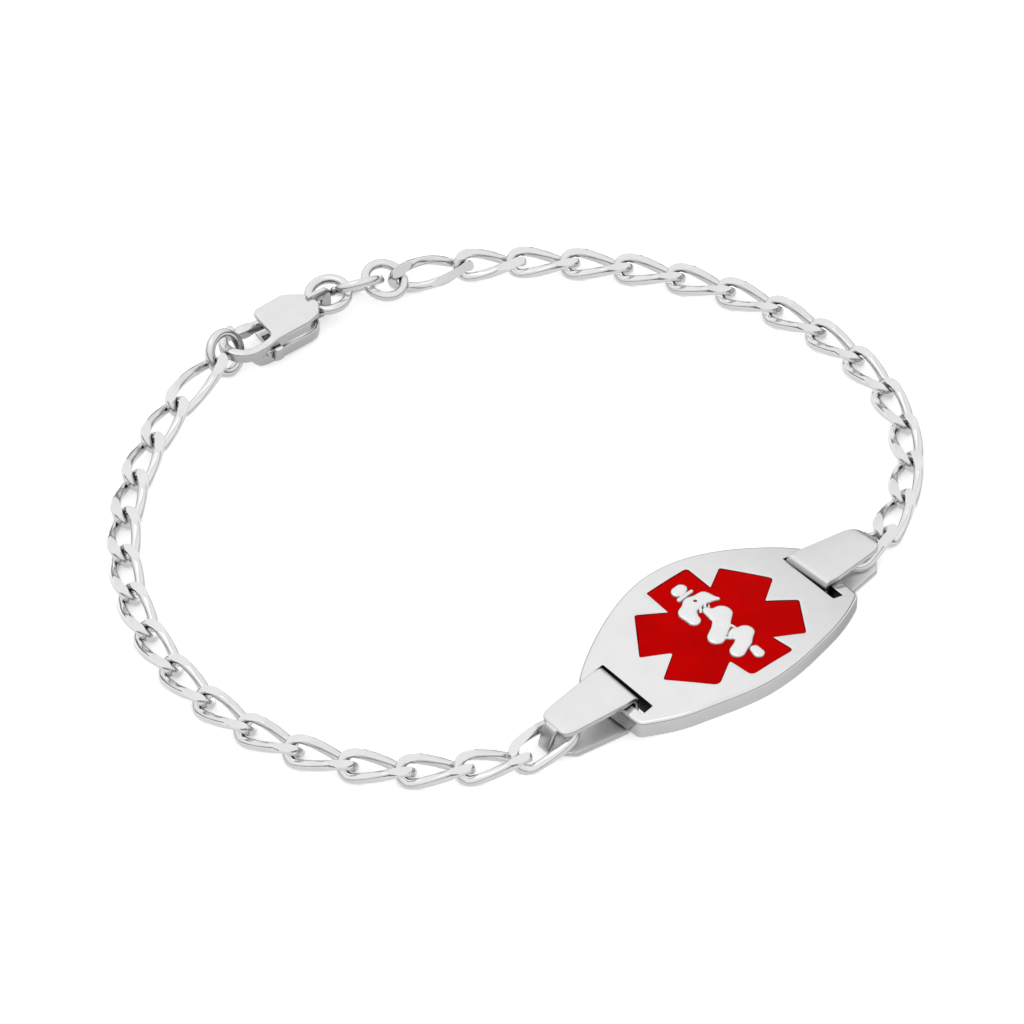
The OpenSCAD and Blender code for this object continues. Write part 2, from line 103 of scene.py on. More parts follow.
class Nodes:
    """Small helper that lays out shader nodes by name."""

    def __init__(self, tree: bpy.types.NodeTree) -> None:
        """Takes a node tree and empties it."""
        self.tree = tree
        tree.nodes.clear()

    def plug(self, socket: Socket, value: object) -> None:
        """Links or sets one input of a node.

        Args:
            socket: the input.
            value: an output socket to link from, or a plain value.
        """
        if isinstance(value, Socket):
            self.tree.links.new(value, socket)
        else:
            socket.default_value = value

    def add(self, kind: str, **sockets: object) -> bpy.types.Node:
        """Adds a node and plugs its inputs.

        Args:
            kind: Blender's type name of the node.
            **sockets: input names, with underscores for spaces, and what goes in.

        Returns:
            The new node.
        """
        node = self.tree.nodes.new(kind)
        for name, value in sockets.items():
            self.plug(node.inputs[name.replace("_", " ")], value)
        return node

    def place(self, kind: str = "Object") -> Socket:
        """Gives the coordinates of a spot, the object's own ones if none are named."""
        return self.add("ShaderNodeTexCoord").outputs[kind]

    def noise(self, place: Socket, scale: float, detail: float = 2.0, rough: float = 0.5) -> Socket:
        """Adds a cloudy pattern and gives its level at each place."""
        settings = {"Vector": place, "Scale": scale, "Detail": detail, "Roughness": rough}
        return self.add("ShaderNodeTexNoise", **settings).outputs["Fac"]

    def ramp(self, factor: Socket, *stops: tuple[float, Tone]) -> Socket:
        """Adds a colour ramp.

        Args:
            factor: the socket that drives the ramp.
            *stops: place and colour of each stop, in rising order.

        Returns:
            The ramp's colour output.
        """
        node = self.add("ShaderNodeValToRGB", Fac=factor)
        band = node.color_ramp
        while len(band.elements) < len(stops):
            band.elements.new(0.5)
        for element, (place, tone) in zip(band.elements, stops):
            element.position = place
            element.color = paint(tone)
        return node.outputs["Color"]

    def mix(self, factor: object, first: object, second: object, blend: Blend = Blend.MIX) -> Socket:
        """Adds a colour mix.

        Args:
            factor: how much of the second colour shows.
            first: first colour or socket.
            second: second colour or socket.
            blend: how they are put together.

        Returns:
            The mixed colour.
        """
        node = self.tree.nodes.new("ShaderNodeMix")
        node.data_type = "RGBA"
        node.blend_type = blend.value
        for index, value in ((0, factor), (6, first), (7, second)):
            self.plug(node.inputs[index], value)
        return node.outputs[2]

    def paint_corner_shade(self, tone: Socket, dark: Tone, reach: float, low: float, high: float) -> Socket:
        """Paints shade into a colour in corners, where little of the sky is open.

        Args:
            tone: colour in the open.
            dark: colour of the painted shade in the tightest corners.
            reach: how far a corner reaches out, in millimetres.
            low: share of open sky up to which the dark colour is full.
            high: share of open sky from which none of it is left.

        Returns:
            The darkened colour.
        """
        corner = self.add("ShaderNodeAmbientOcclusion", Distance=reach * MM)
        corner.samples = 8
        return self.mix(self.ramp(corner.outputs["AO"], (low, 0.0), (high, 1.0)), paint(dark), tone)

    def show(self, shader: bpy.types.Node, kind: str = "ShaderNodeOutputMaterial") -> None:
        """Puts a shader on the surface."""
        self.add(kind, Surface=shader.outputs[0])


@dataclass(frozen=True)
class Finish:
    """A finish of the bracelet or the table, which makes one material.

    Attributes:
        name: name of the material.
        tone: its main colour.
    """

    name: str
    tone: Tone

    def shader(self, kit: Nodes) -> bpy.types.Node:
        """Lays out the finish's nodes and gives its shader."""
        raise NotImplementedError

    def material(self) -> bpy.types.Material:
        """Builds the material, or finds it if it is there already.

        Returns:
            The material.
        """
        made = bpy.data.materials.get(self.name)
        if not made:
            made = bpy.data.materials.new(self.name)
            made.use_nodes = True
            made.diffuse_color = paint(self.tone)
            kit = Nodes(made.node_tree)
            kit.show(self.shader(kit))
        return made


@dataclass(frozen=True)
class SilverFinish(Finish):
    """Polished sterling silver with fine wear, and painted shade on its sideways faces and in its corners.

    Attributes:
        side: colour with painted shade for spots that face sideways, darker than the faces.
        crevice: colour of the painted shade in tight corners.
        side_at: share of upright in the normal up to which a spot is a side.
        face_at: share of upright from which a spot is a face.
        reach: how far the painted corner shade reaches out of a corner, in millimetres.
        open_at: share of open sky from which a spot is free of painted shade.
        gloss: roughness of the smoothest spots.
        haze: roughness of the dullest spots.
        glance: share of the mirror's light that is left at a grazing angle.
        scratch: height of the fine scratches, as a bump strength.
        grain: size of the wear pattern, in repeats per metre.
    """

    side: float = 0.42
    crevice: float = 0.012
    side_at: float = 0.25
    face_at: float = 0.8
    reach: float = 0.35
    open_at: float = 0.55
    gloss: float = 0.07
    haze: float = 0.16
    glance: float = 1.0
    scratch: float = 0.05
    grain: float = 900.0

    def shader(self, kit: Nodes) -> bpy.types.Node:
        """Lays out pale faces, painted shade on sides and in corners, and fine scratches.

        Args:
            kit: the material's nodes.

        Returns:
            The shader.
        """
        place = kit.place()
        wear = kit.noise(place, self.grain, 4.0, 0.6)
        stretch, slant = (1.0, 7.0, 1.0), (0.0, 0.0, 0.4)
        brushed = kit.add("ShaderNodeMapping", Vector=place, Scale=stretch, Rotation=slant)
        lines = kit.noise(brushed.outputs["Vector"], self.grain * 2.2, 3.0)
        normal = kit.add("ShaderNodeNewGeometry").outputs["Normal"]
        parts = kit.add("ShaderNodeSeparateXYZ", Vector=normal)
        upright = kit.add("ShaderNodeMath", Value=parts.outputs["Z"])
        upright.operation = "ABSOLUTE"
        # Painted shade: the colour goes from side to tone as the normal turns from sideways to upright.
        tone = kit.ramp(upright.outputs[0], (self.side_at, self.side), (self.face_at, self.tone))
        tone = kit.mix(1.0, tone, kit.ramp(wear, (0.3, 0.955), (0.7, 1.0)), Blend.MULTIPLY)
        levels = {"From Min": 0.3, "From Max": 0.7, "To Min": self.gloss, "To Max": self.haze}
        rough = kit.add("ShaderNodeMapRange", Value=wear, **levels)
        bump = kit.add("ShaderNodeBump", Height=lines, Strength=self.scratch, Distance=0.02 * MM)
        return kit.add(
            "ShaderNodeBsdfPrincipled",
            # Painted shade: where ambient occlusion finds little open sky, the colour turns towards
            # crevice.
            Base_Color=kit.paint_corner_shade(tone, self.crevice, self.reach, 0.1, self.open_at),
            Metallic=1.0,
            Roughness=rough.outputs["Result"],
            Normal=bump.outputs["Normal"],
            Specular_Tint=paint(self.glance),
        )


@dataclass(frozen=True)
class EnamelFinish(Finish):
    """Glossy hard enamel, a little deeper in colour where it lies thick.

    Attributes:
        deep: colour of the thick enamel.
        edge: colour of the painted shade in the thin line where it meets the metal.
    """

    deep: Tone = (0.50, 0.0, 0.0)
    edge: Tone = (0.06, 0.0, 0.0)

    def shader(self, kit: Nodes) -> bpy.types.Node:
        """Lays out cloudy colour with flecks and a painted-shade line at the metal.

        Args:
            kit: the material's nodes.

        Returns:
            The shader.
        """
        place = kit.place()
        cloud = kit.noise(place, 170.0)
        fleck = kit.ramp(kit.noise(place, 2600.0), (0.3, 0.95), (0.6, 1.0))
        tone = kit.mix(1.0, kit.ramp(cloud, (0.35, self.deep), (0.65, self.tone)), fleck, Blend.MULTIPLY)
        bump = kit.add("ShaderNodeBump", Height=cloud, Strength=0.15, Distance=0.05 * MM)
        return kit.add(
            "ShaderNodeBsdfPrincipled",
            # Painted shade: the enamel turns towards edge where ambient occlusion finds the pocket wall
            # close.
            Base_Color=kit.paint_corner_shade(tone, self.edge, 0.12, 0.35, 0.8),
            Roughness=0.32,
            Normal=bump.outputs["Normal"],
            Specular_IOR_Level=0.005,
            Coat_Weight=0.02,
            Coat_Roughness=0.08,
        )


@dataclass(frozen=True)
class TableFinish(Finish):
    """Pale matt table that glows a little, so that the picture's ground stays white."""

    def shader(self, kit: Nodes) -> bpy.types.Node:
        """Lays out a faintly mottled white."""
        tone = kit.ramp(kit.noise(kit.place("Generated"), 40.0), (0.3, self.tone), (0.7, self.tone + 0.02))
        glow = {"Emission Color": tone, "Emission Strength": 0.55}
        return kit.add(
            "ShaderNodeBsdfPrincipled", Base_Color=tone, Roughness=0.7, Specular_IOR_Level=0.1, **glow
        )


# In each silver finish, side is painted shade for sideways faces, and reach and open_at set the painted
# shade in corners.
PLATE_SILVER = SilverFinish("plate_polish", 0.87, 0.46, reach=1.1, glance=0.56, scratch=0.04, grain=500.0)
# Near-black painted shade for the slot walls, the serpent's eye and the tongue's grooves.
PAINTED_HOLLOW_SHADE = SilverFinish("painted_hollow_shade", 0.05, 0.015, crevice=0.003, gloss=0.35, haze=0.55)
RELIEF_SILVER = SilverFinish("relief_polish", 0.92, 0.3, reach=0.34, open_at=0.66, gloss=0.12, haze=0.2)
STRAP_SILVER = SilverFinish(
    "strap_polish", 0.88, 0.45, side_at=0.8, face_at=0.972, reach=0.14, gloss=0.26, haze=0.42
)
# Painted light: a brighter copy of the strap silver for the faces inside the loop.
STRAP_INSIDE_LIT = SilverFinish("strap_inside_painted_light", 0.97, 0.85, reach=0.06, gloss=0.4, haze=0.55)
CHAIN_SILVER = SilverFinish("chain_polish", 0.87, 0.55, reach=0.26)
RING_SILVER = SilverFinish("ring_polish", 0.87, 0.5, reach=0.26)
CLASP_SILVER = SilverFinish("clasp_polish", 0.87, 0.38, reach=0.5, gloss=0.1, haze=0.18)
STAR_ENAMEL = EnamelFinish("star_enamel", (0.60, 0.0, 0.0))
WHITE_TABLE = TableFinish("white_table", 0.84)


def sin(angle: float) -> float:
    """Sine of an angle in degrees."""
    return math.sin(math.radians(angle))


def cos(angle: float) -> float:
    """Cosine of an angle in degrees."""
    return math.cos(math.radians(angle))


def clamp(value: float, low: float = 0.0, high: float = 1.0) -> float:
    """Keeps a value between two limits."""
    return max(low, min(high, value))


def entry(table: Sequence[float], index: int) -> float:
    """Gives a number of a table, or 0 past its end."""
    return table[index] if index < len(table) else 0.0


def ray(angle: float, length: float) -> Point2:
    """Gives the point at a distance in a direction."""
    return (length * cos(angle), length * sin(angle))


def plus(a: Point2, b: Point2, share: float = 1.0) -> Point2:
    """Adds a share of a second point to a first one."""
    return (a[0] + b[0] * share, a[1] + b[1] * share)


def spin(angle: float, point: Point2) -> Point2:
    """Turns a point about the origin, anticlockwise."""
    return plus(ray(angle, point[0]), ray(angle + 90.0, point[1]))


def heading(way: Point2) -> float:
    """Gives the direction of a vector."""
    return math.degrees(math.atan2(way[1], way[0]))


def left_of(way: Vector) -> Vector:
    """Gives the unit vector to the left of a direction."""
    return Vector((-way.y, way.x)).normalized()


def around(points: Sequence, closed: bool = True) -> Iterable[tuple]:
    """Gives each point of a line between its neighbours; at an open end it is its own one."""
    first, last = (points[-1], points[0]) if closed else (points[0], points[-1])
    return zip([first, *points[:-1]], points, [*points[1:], last])


def arc(centre: Point2, radius: float, start: float, end: float, steps: int) -> Loop:
    """Lists points on an arc from one direction to another, both ends included."""
    turns = [start + (end - start) * i / steps for i in range(steps + 1)]
    return [plus(centre, ray(turn, radius)) for turn in turns]


def box(wide: float, tall: float) -> Loop:
    """Lists the corners of a rectangle about the origin, anticlockwise."""
    return [(x * wide / 2, y * tall / 2) for x, y in ((-1, -1), (1, -1), (1, 1), (-1, 1))]


def rounded(points: Sequence[Point2], radius: float, steps: int = 6) -> Loop:
    """Rounds the corners of a convex anticlockwise outline.

    Args:
        points: its corners.
        radius: corner radius.
        steps: steps in each corner.

    Returns:
        The rounded outline.
    """
    loop: Loop = []
    for before, here, after in around([Vector(p) for p in points]):
        back, ahead = (before - here).normalized(), (after - here).normalized()
        half = math.acos(clamp(back.dot(ahead), -1.0)) / 2
        centre = here + (back + ahead).normalized() * radius / math.sin(half)
        first = heading(here + back * radius / math.tan(half) - centre)
        loop += arc(centre, radius, first, first + 180.0 - math.degrees(2 * half), steps)
    return loop


def refine(loop: Loop, step: float) -> Loop:
    """Splits the edges of a closed outline that are longer than a step."""
    cuts = [(a, plus(b, a, -1.0), max(1, math.ceil(math.dist(a, b) / step))) for _, a, b in around(loop)]
    return [plus(a, way, k / parts) for a, way, parts in cuts for k in range(parts)]


def tidy(loop: Loop, least: float = 1e-4) -> Loop:
    """Drops points that lie on the one before them."""
    return [here for before, here, _ in around(loop) if math.dist(here, before) > least]


def inset(loop: Loop, distance: float) -> Loop:
    """Moves a closed outline to its left by a distance, with mitred corners.

    Args:
        loop: closed outline; its left is inwards where it runs anticlockwise.
        distance: how far to move it.

    Returns:
        The moved outline, with as many points.
    """
    out: Loop = []
    for before, here, after in around([Vector(p) for p in loop]):
        first, second = left_of(here - before), left_of(after - here)
        out.append((first + second) * distance / max(0.35, 1.0 + first.dot(second)))
    return [plus(p, move) for p, move in zip(loop, out)]


def inside(point: Point2, loops: Iterable[Loop]) -> bool:
    """Tells whether a point lies within outlines and outside their holes.

    Args:
        point: the point.
        loops: outer outlines and holes together.

    Returns:
        True where a ray to the right crosses an odd number of edges.
    """
    x, y = point
    edges = ((a, b) for loop in loops for a, b, _ in around(loop) if (a[1] > y) != (b[1] > y))
    crossings = (a[0] + (b[0] - a[0]) * (y - a[1]) / (b[1] - a[1]) for a, b in edges)
    return sum(crossing > x for crossing in crossings) % 2 == 1


def grid_points(outlines: Sequence[Loop], step: float) -> Loop:
    """Lists points of a triangular grid that lie well inside a region.

    Args:
        outlines: the region's outlines.
        step: distance of the points.

    Returns:
        The points.
    """
    near = [p for loop in outlines for p in loop]
    low, high = tuple(map(min, zip(*near))), tuple(map(max, zip(*near)))
    rows, columns = (int((high[k] - low[k]) / step) + 1 for k in (1, 0))
    grid = product(range(1, rows), range(1, columns))
    spots = [(low[0] + (i + 0.5 * (j % 2)) * step, low[1] + j * step) for j, i in grid]
    return [p for p in spots if inside(p, outlines) and min(math.dist(p, q) for q in near) > 0.45 * step]


def rim_profile(low: float, high: float, under: float, over: float, steps: int) -> Loop:
    """Lists the inset and height of a rim from below, with its lower and upper edge rounded."""
    lower = arc((under, low + under), under, 270.0, 180.0, steps)
    return lower + arc((over, high - over), over, 180.0, 90.0, steps)


def squared_wire(radius: float, power: float, most: float) -> Loop:
    """Lists a wire's section: round at power 2, squarer above, no corner further out than most radii."""
    reach = {t: (abs(cos(t)) ** power + abs(sin(t)) ** power) ** (-1 / power) for t in range(0, 360, 18)}
    return [ray(t, radius * min(most, r)) for t, r in reach.items()]


def flat(x: float, y: float, z: float) -> Vector:
    """Leaves a flat point where it is."""
    return Vector((x, y, z))


def shift(x: float, y: float, z: float) -> Matrix:
    """Gives a move as a matrix."""
    return Matrix.Translation((x, y, z))


def turn(axis: str, angle: float) -> Matrix:
    """Gives a turn about an axis as a matrix."""
    return Matrix.Rotation(math.radians(angle), 4, axis)


def put(name: str, data: bpy.types.ID) -> bpy.types.Object:
    """Makes an object and puts it in the scene.

    Args:
        name: the object's name.
        data: its mesh, lamp or camera.

    Returns:
        The object.
    """
    thing = bpy.data.objects.new(name, data)
    bpy.context.scene.collection.objects.link(thing)
    return thing


class Shell:
    """Collects points and faces in millimetres and turns them into a piece."""

    def __init__(self) -> None:
        """Starts an empty shell."""
        self.points: list[Vector] = []
        self.faces: list[tuple[int, ...]] = []

    def ring(self, points: Sequence[Vector]) -> list[int]:
        """Adds points and gives their numbers."""
        self.points += points
        return list(range(len(self.points) - len(points), len(self.points)))

    def sleeve(self, rings: Sequence[list[int]]) -> None:
        """Joins each closed ring of points to the next one."""
        for low, high in zip(rings, rings[1:]):
            self.faces += zip(low, low[1:] + low[:1], high[1:] + high[:1], high)

    def tube(self, rings: Sequence[Sequence[Vector]], closed: bool) -> None:
        """Adds a body from rings of points.

        Args:
            rings: the rings, each with as many points.
            closed: whether the last ring meets the first one.
        """
        numbers = [self.ring(points) for points in rings]
        self.sleeve(numbers + numbers[:1] if closed else numbers)
        if not closed:
            self.faces += [tuple(numbers[0][::-1]), tuple(numbers[-1])]

    def bar(
        self,
        path: Sequence[Vector],
        sizes: Sequence[Point2],
        corner: float,
        up: Vector = RISE,
        closed: bool = False,
    ) -> None:
        """Adds a bar with a rounded rectangular section along a path.

        Args:
            path: middles of the sections.
            sizes: width and height of each section, or the one size of all.
            corner: corner radius of the section.
            up: direction of the height.
            closed: whether the bar is a closed loop.
        """
        rings = []
        every = sizes * len(path) if len(sizes) == 1 else sizes
        for (before, middle, after), (wide, tall) in zip(around(path, closed), every):
            across = (after - before).cross(up).normalized()
            rise = across.cross(after - before).normalized()
            section = rounded(box(wide, tall), min(corner, 0.49 * wide, 0.49 * tall), 3)
            rings.append([middle + across * u + rise * v for u, v in section])
        self.tube(rings, closed)

    def wall(self, outline: Loop, profile: Loop, warp: Warp) -> tuple[Edge, Edge]:
        """Raises a wall on an outline.

        Args:
            outline: the wall's foot.
            profile: inset and height of each ring of the wall.
            warp: puts a flat point in its place.

        Returns:
            Its first and last edge, as point numbers and outline in plan.
        """
        loops = [inset(outline, move) for move, _ in profile]
        rings = [self.ring([warp(x, y, z) for x, y in loop]) for loop, (_, z) in zip(loops, profile)]
        self.sleeve(rings)
        return (rings[0], loops[0]), (rings[-1], loops[-1])

    def cap(self, edges: Sequence[Edge], height: float, warp: Warp, up: bool, grid: float = 0.0) -> None:
        """Fills the region between edges with triangles.

        Args:
            edges: point numbers and outline in plan of each edge.
            height: height of the new inner points, before the warp.
            warp: puts a flat point in its place.
            up: whether the face looks up.
            grid: distance of the inner points, or 0 for none.
        """
        outlines = [outline for _, outline in edges]
        known = dict(enumerate(number for ring, _ in edges for number in ring))
        added = [p for outline in outlines for p in inset(outline, SUPPORT) if inside(p, outlines)]
        added += grid_points(outlines, grid) if grid else []
        sides: list[tuple[int, int]] = []
        for outline in outlines:
            first = sides[-1][0] + 1 if sides else 0
            ends = list(range(first, first + len(outline)))
            sides += zip(ends, ends[1:] + ends[:1])
        spots = [Vector(p) for outline in (*outlines, added) for p in outline]
        places, _, triangles, sources, *_ = delaunay_2d_cdt(spots, sides, [], 0, WELD, True)
        numbers = []
        for place, source in zip(places, sources):
            old = next((known[s] for s in source if s in known), None)
            numbers.append(self.ring([warp(*place, height)])[0] if old is None else old)
        for triangle in triangles:
            if inside(sum((places[i] for i in triangle), Vector((0.0, 0.0))) / 3, outlines):
                face = tuple(numbers[i] for i in triangle)
                self.faces.append(face if up else face[::-1])

    def slab(
        self,
        outlines: Sequence[Loop],
        low: float,
        high: float,
        edge: float,
        warp: Warp = flat,
        grid: float = 0.0,
        steps: int = 3,
        lower_edge: Optional[float] = None,
    ) -> None:
        """Adds a flat body with rounded edges.

        Args:
            outlines: outer outline anticlockwise, holes clockwise.
            low: height of the underside.
            high: height of the top.
            edge: radius of the upper edges.
            warp: puts a flat point in its place.
            grid: distance of the points inside the faces, or 0.
            steps: steps in each rounded edge.
            lower_edge: radius of the lower edges, if it differs.
        """
        profile = rim_profile(low, high, edge if lower_edge is None else lower_edge, edge, steps)
        bottoms, tops = zip(*(self.wall(outline, profile, warp) for outline in outlines))
        self.cap(bottoms, low, warp, False, grid)
        self.cap(tops, high, warp, True, grid)

    @staticmethod
    def cut_flat(work: bmesh.types.BMesh, height: float) -> None:
        """Cuts a body flat: what lies beyond the cut, seen from the origin, comes off.

        Args:
            work: the body's mesh.
            height: height of the cut.
        """
        found = bmesh.ops.bisect_plane(
            work,
            geom=[*work.verts, *work.edges, *work.faces],
            plane_co=(0.0, 0.0, height),
            plane_no=(0.0, 0.0, math.copysign(1.0, height)),
            clear_outer=True,
            dist=1e-4,
        )
        edges = [e for e in found["geom_cut"] if isinstance(e, bmesh.types.BMEdge) and e.is_boundary]
        bmesh.ops.holes_fill(work, edges=edges, sides=0)

    def piece(
        self,
        name: str,
        finish: Finish,
        slot: str,
        place: Matrix,
        nodes: Sequence[str] = (),
        body: Body = Body.BRACELET,
        crease: float = 38.0,
        cuts: Sequence[float] = (),
        inlay: Optional[tuple[Finish, Test]] = None,
    ) -> str:
        """Makes the Blender object, dresses it and lets it ride on its body.

        Args:
            name: name of the piece.
            finish: its finish.
            slot: the record's material slot; not used.
            place: where the shell goes, in millimetres.
            nodes: solids that it replaces.
            body: the rigid body that it rides on.
            crease: edges that turn more than this stay sharp.
            cuts: heights, before placing, where the shell is cut flat.
            inlay: a second finish, and the test of a face's middle and normal,
                before placing, that tells where it goes.

        Returns:
            The piece's name.
        """
        mesh = bpy.data.meshes.new(name)
        mesh.from_pydata([tuple(p) for p in self.points], [], self.faces)
        work = bmesh.new()
        work.from_mesh(mesh)
        bmesh.ops.remove_doubles(work, verts=work.verts, dist=WELD)
        for height in cuts:
            self.cut_flat(work, height)
        bmesh.ops.recalc_face_normals(work, faces=work.faces)
        for face in work.faces:
            face.smooth = True
            face.material_index = int(bool(inlay) and inlay[1](face.calc_center_median(), face.normal))
        bmesh.ops.transform(work, matrix=Matrix.Scale(MM, 4) @ place, verts=work.verts)
        bmesh.ops.recalc_face_normals(work, faces=work.faces)
        for edge in work.edges:
            edge.smooth = edge.calc_face_angle(0.0) < math.radians(crease)
        work.to_mesh(mesh)
        work.free()
        thing = put(name, mesh)
        mesh.materials.append(finish.material())
        if inlay:
            mesh.materials.append(inlay[0].material())
        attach(thing, body.value)
        if nodes:
            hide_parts(*nodes)
        return name


@dataclass
class Plate:
    """Arched plate with its star pocket, the enamel in it and the relief."""

    length: float = 23.0
    width: float = 14.65
    thickness: float = 1.45
    side_radius: float = 17.2
    corner_radius: float = 0.8
    bend_radius: float = 38.8
    lift: float = 0.58
    # The underside hangs by the belly and, from a distance on, rises by the toe per millimetre.
    belly: float = 0.18
    belly_reach: float = 10.5
    toe: float = 0.25
    toe_from: float = 11.3
    edge: float = 0.28
    slot_edge: float = 0.09
    slot_rim: float = 1.15
    slot_width: float = 1.0
    slot_length: float = 5.9
    bail_turn: Point2 = (1.0, 4.0)
    bail_shift: Point2 = (0.4, 0.5)
    star_depth: float = 0.35
    enamel_drop: float = 0.05
    enamel_gap: float = 0.03
    relief_rise: float = 0.08
    relief_step: float = 0.05
    relief_skirt: float = 0.12
    # The relief's bars melt together within a reach, by a height, and each form is a bit fuller.
    melt_reach: float = 0.3
    melt_height: float = 0.075
    fuller: float = 0.06
    # Each form is a pillow: its foot under the rise, its swell, and the slope of the skirt round it.
    pillow_drop: float = 0.09
    pillow_height: float = 0.16
    pillow_width: float = 0.36
    skirt_slope: float = 2.6
    # The serpent's tongue lies low and is twisted: the way and number of its ridges, and its edge.
    tongue_way: Point2 = (0.77, -0.64)
    tongue_waves: float = 18.0
    tongue_foot: float = -0.035
    ridge_height: float = 0.045
    tongue_edge: float = 0.1
    tongue_slope: float = 0.6
    eye_depth: float = 0.17
    eye: Point2 = (-0.025, 2.775)
    eye_radius: float = 0.135
    middle: Point2 = (1.50401, -23.4684)
    # The ends as trimmed by hand: where the trim starts, half the width of its slant, and by side how
    # far the end is moved along the plate and how much more for each millimetre across.
    trim_from: float = 4.0
    trim_half: float = 4.4
    end_trims: tuple[Point2, Point2] = ((0.14, -0.07), (0.28, 0.04))
    # Hand filing: place along the plate, then how far the far and the near rim stand out there.
    filing: tuple[tuple[float, float, float], ...] = (
        (-11.5, 0.34, 0.6),
        (-8.7, 0.12, 0.46),
        (-6.0, 0.12, 0.2),
        (-1.5, 0.28, 0.25),
        (2.0, 0.19, 0.07),
        (5.0, 0.02, -0.08),
        (8.0, 0.03, 0.07),
        (9.8, 0.24, 0.24),
        (11.5, 0.56, 0.44),
    )
    # Corners of the star: place along and across the plate, and how soft the corner is.
    star_points: tuple[tuple[float, float, float], ...] = (
        (1.98, 6.1, 0.34), (-2.28, 5.97, 0.12), (-2.37, 3.25, 0.12),
        (-4.48, 4.86, 0.24), (-7.0, 1.31, 0.18), (-4.89, -0.21, 0.32),
        (-7.16, -1.69, 0.22), (-4.5, -5.2, 0.5), (-2.27, -3.84, 0.34),
        (-2.02, -6.16, 0.5), (2.32, -6.1, 0.42), (2.0, -4.03, 0.1),
        (4.46, -5.18, 0.26), (6.76, -1.79, 0.24), (4.4, -0.44, 0.14),
        (6.86, 1.37, 0.36), (4.1, 4.62, 0.18), (1.98, 3.24, 0.16),
    )
    # Forms of the relief, of tapered bars: place and radius at either end. The tongue is the last form.
    forms: tuple[tuple[tuple[float, ...], ...], ...] = (
        ((-0.38, 4.5, 0.48, 0.06, 4.57, 0.46),),
        ((-0.86, 3.74, 0.15, 0.52, 3.87, 0.12),),
        (
            (-1.46, 1.26, 0.49, -1.32, 2.24, 0.62),
            (-1.32, 2.24, 0.62, -0.34, 2.76, 0.64),
            (-0.34, 2.76, 0.64, 0.81, 2.68, 0.57),
            (0.81, 2.68, 0.57, 1.6, 1.92, 0.1),
        ),
        (
            (0.02, 1.44, 0.34, 0.06, 0.64, 0.46),
            (0.7, 0.46, 0.82, -0.19, -0.5, 0.63),
            (-0.19, -0.5, 0.63, -1.36, -1.26, 0.7),
        ),
        ((0.4, -1.06, 0.05, 0.44, -1.56, 0.07),),
        ((-0.94, -1.68, 0.05, -0.6, -2.08, 0.07),),
        (
            (-0.4, -1.91, 0.22, 0.16, -1.61, 0.22),
            (0.0, -1.9, 0.36, 0.3, -2.3, 0.5),
            (0.72, -2.26, 0.7, -0.04, -2.96, 0.55),
            (-0.04, -2.96, 0.55, -1.12, -3.46, 0.61),
        ),
        ((0.04, -4.18, 0.37, -0.02, -4.68, 0.43),),
        ((-0.34, 1.86, 0.25, 0.3, 1.88, 0.28),),
    )

    @property
    def slot_x(self) -> float:
        """Distance of a slot's middle from the plate's middle."""
        return self.length / 2 - self.slot_rim - self.slot_width / 2

    @property
    def bend_z(self) -> float:
        """Height of the bend's axis."""
        inner = self.bend_radius - self.thickness
        return self.lift - math.sqrt(inner**2 - (self.length / 2) ** 2)

    def place(self, x: float = 0.0, y: float = 0.0, z: float = 0.0) -> Matrix:
        """Gives the place of a spot that is measured from the plate's middle."""
        return shift(self.middle[0] + x, self.middle[1] + y, z)

    def arched(self, x: float, y: float, z: float) -> Vector:
        """Bends a flat point onto the arch, with the plate's middle over the origin.

        Args:
            x: place along the plate.
            y: place across the plate.
            z: height over the plate's underside.

        Returns:
            The point on the arch.
        """
        radius, under = self.bend_radius - self.thickness + z, max(0.0, 1.0 - z / self.thickness)
        belly = self.belly * max(0.0, 1.0 - (x / self.belly_reach) ** 2)
        sink = (belly - self.toe * max(0.0, abs(x) - self.toe_from)) * under
        return Vector((x, y, self.bend_z + math.sqrt(radius**2 - x**2) - sink))

    def filed(self, x: float, rim: int) -> float:
        """Gives how far a rim stands out, on a smooth curve through the filing table.

        Args:
            x: place along the plate.
            rim: the table's column, 1 for the far rim and 2 for the near one.

        Returns:
            The distance.
        """
        rows = (self.filing[0], *self.filing, self.filing[-1])
        x = clamp(x, rows[0][0], rows[-1][0])
        k = max(i for i, row in enumerate(self.filing[:-1]) if row[0] <= x)
        before, low, high, after = rows[k : k + 4]
        span = high[0] - low[0]
        t = (x - low[0]) / span
        start, end = ((b[rim] - a[rim]) / (b[0] - a[0]) * span for a, b in ((before, high), (low, after)))
        ease = t * t * (3.0 - 2.0 * t)
        return (1.0 - ease) * low[rim] + ease * high[rim] + t * (1.0 - t) * ((1.0 - t) * start - t * end)

    def trimmed(self, x: float, y: float) -> Point2:
        """Moves an outline point to where hand filing left it.

        Args:
            x: place along the plate.
            y: place across the plate.

        Returns:
            The moved point.
        """
        near_end = max(0.0, (abs(x) - self.trim_from) / (self.length / 2 - self.trim_from)) ** 2
        shift_x, slant = self.end_trims[0 if x < 0 else 1]
        along = near_end * (shift_x + slant * clamp(y, -self.trim_half, self.trim_half))
        return (x + along, y + self.filed(x, 1 if y > 0 else 2) * clamp(y / 2.0, -1.0))

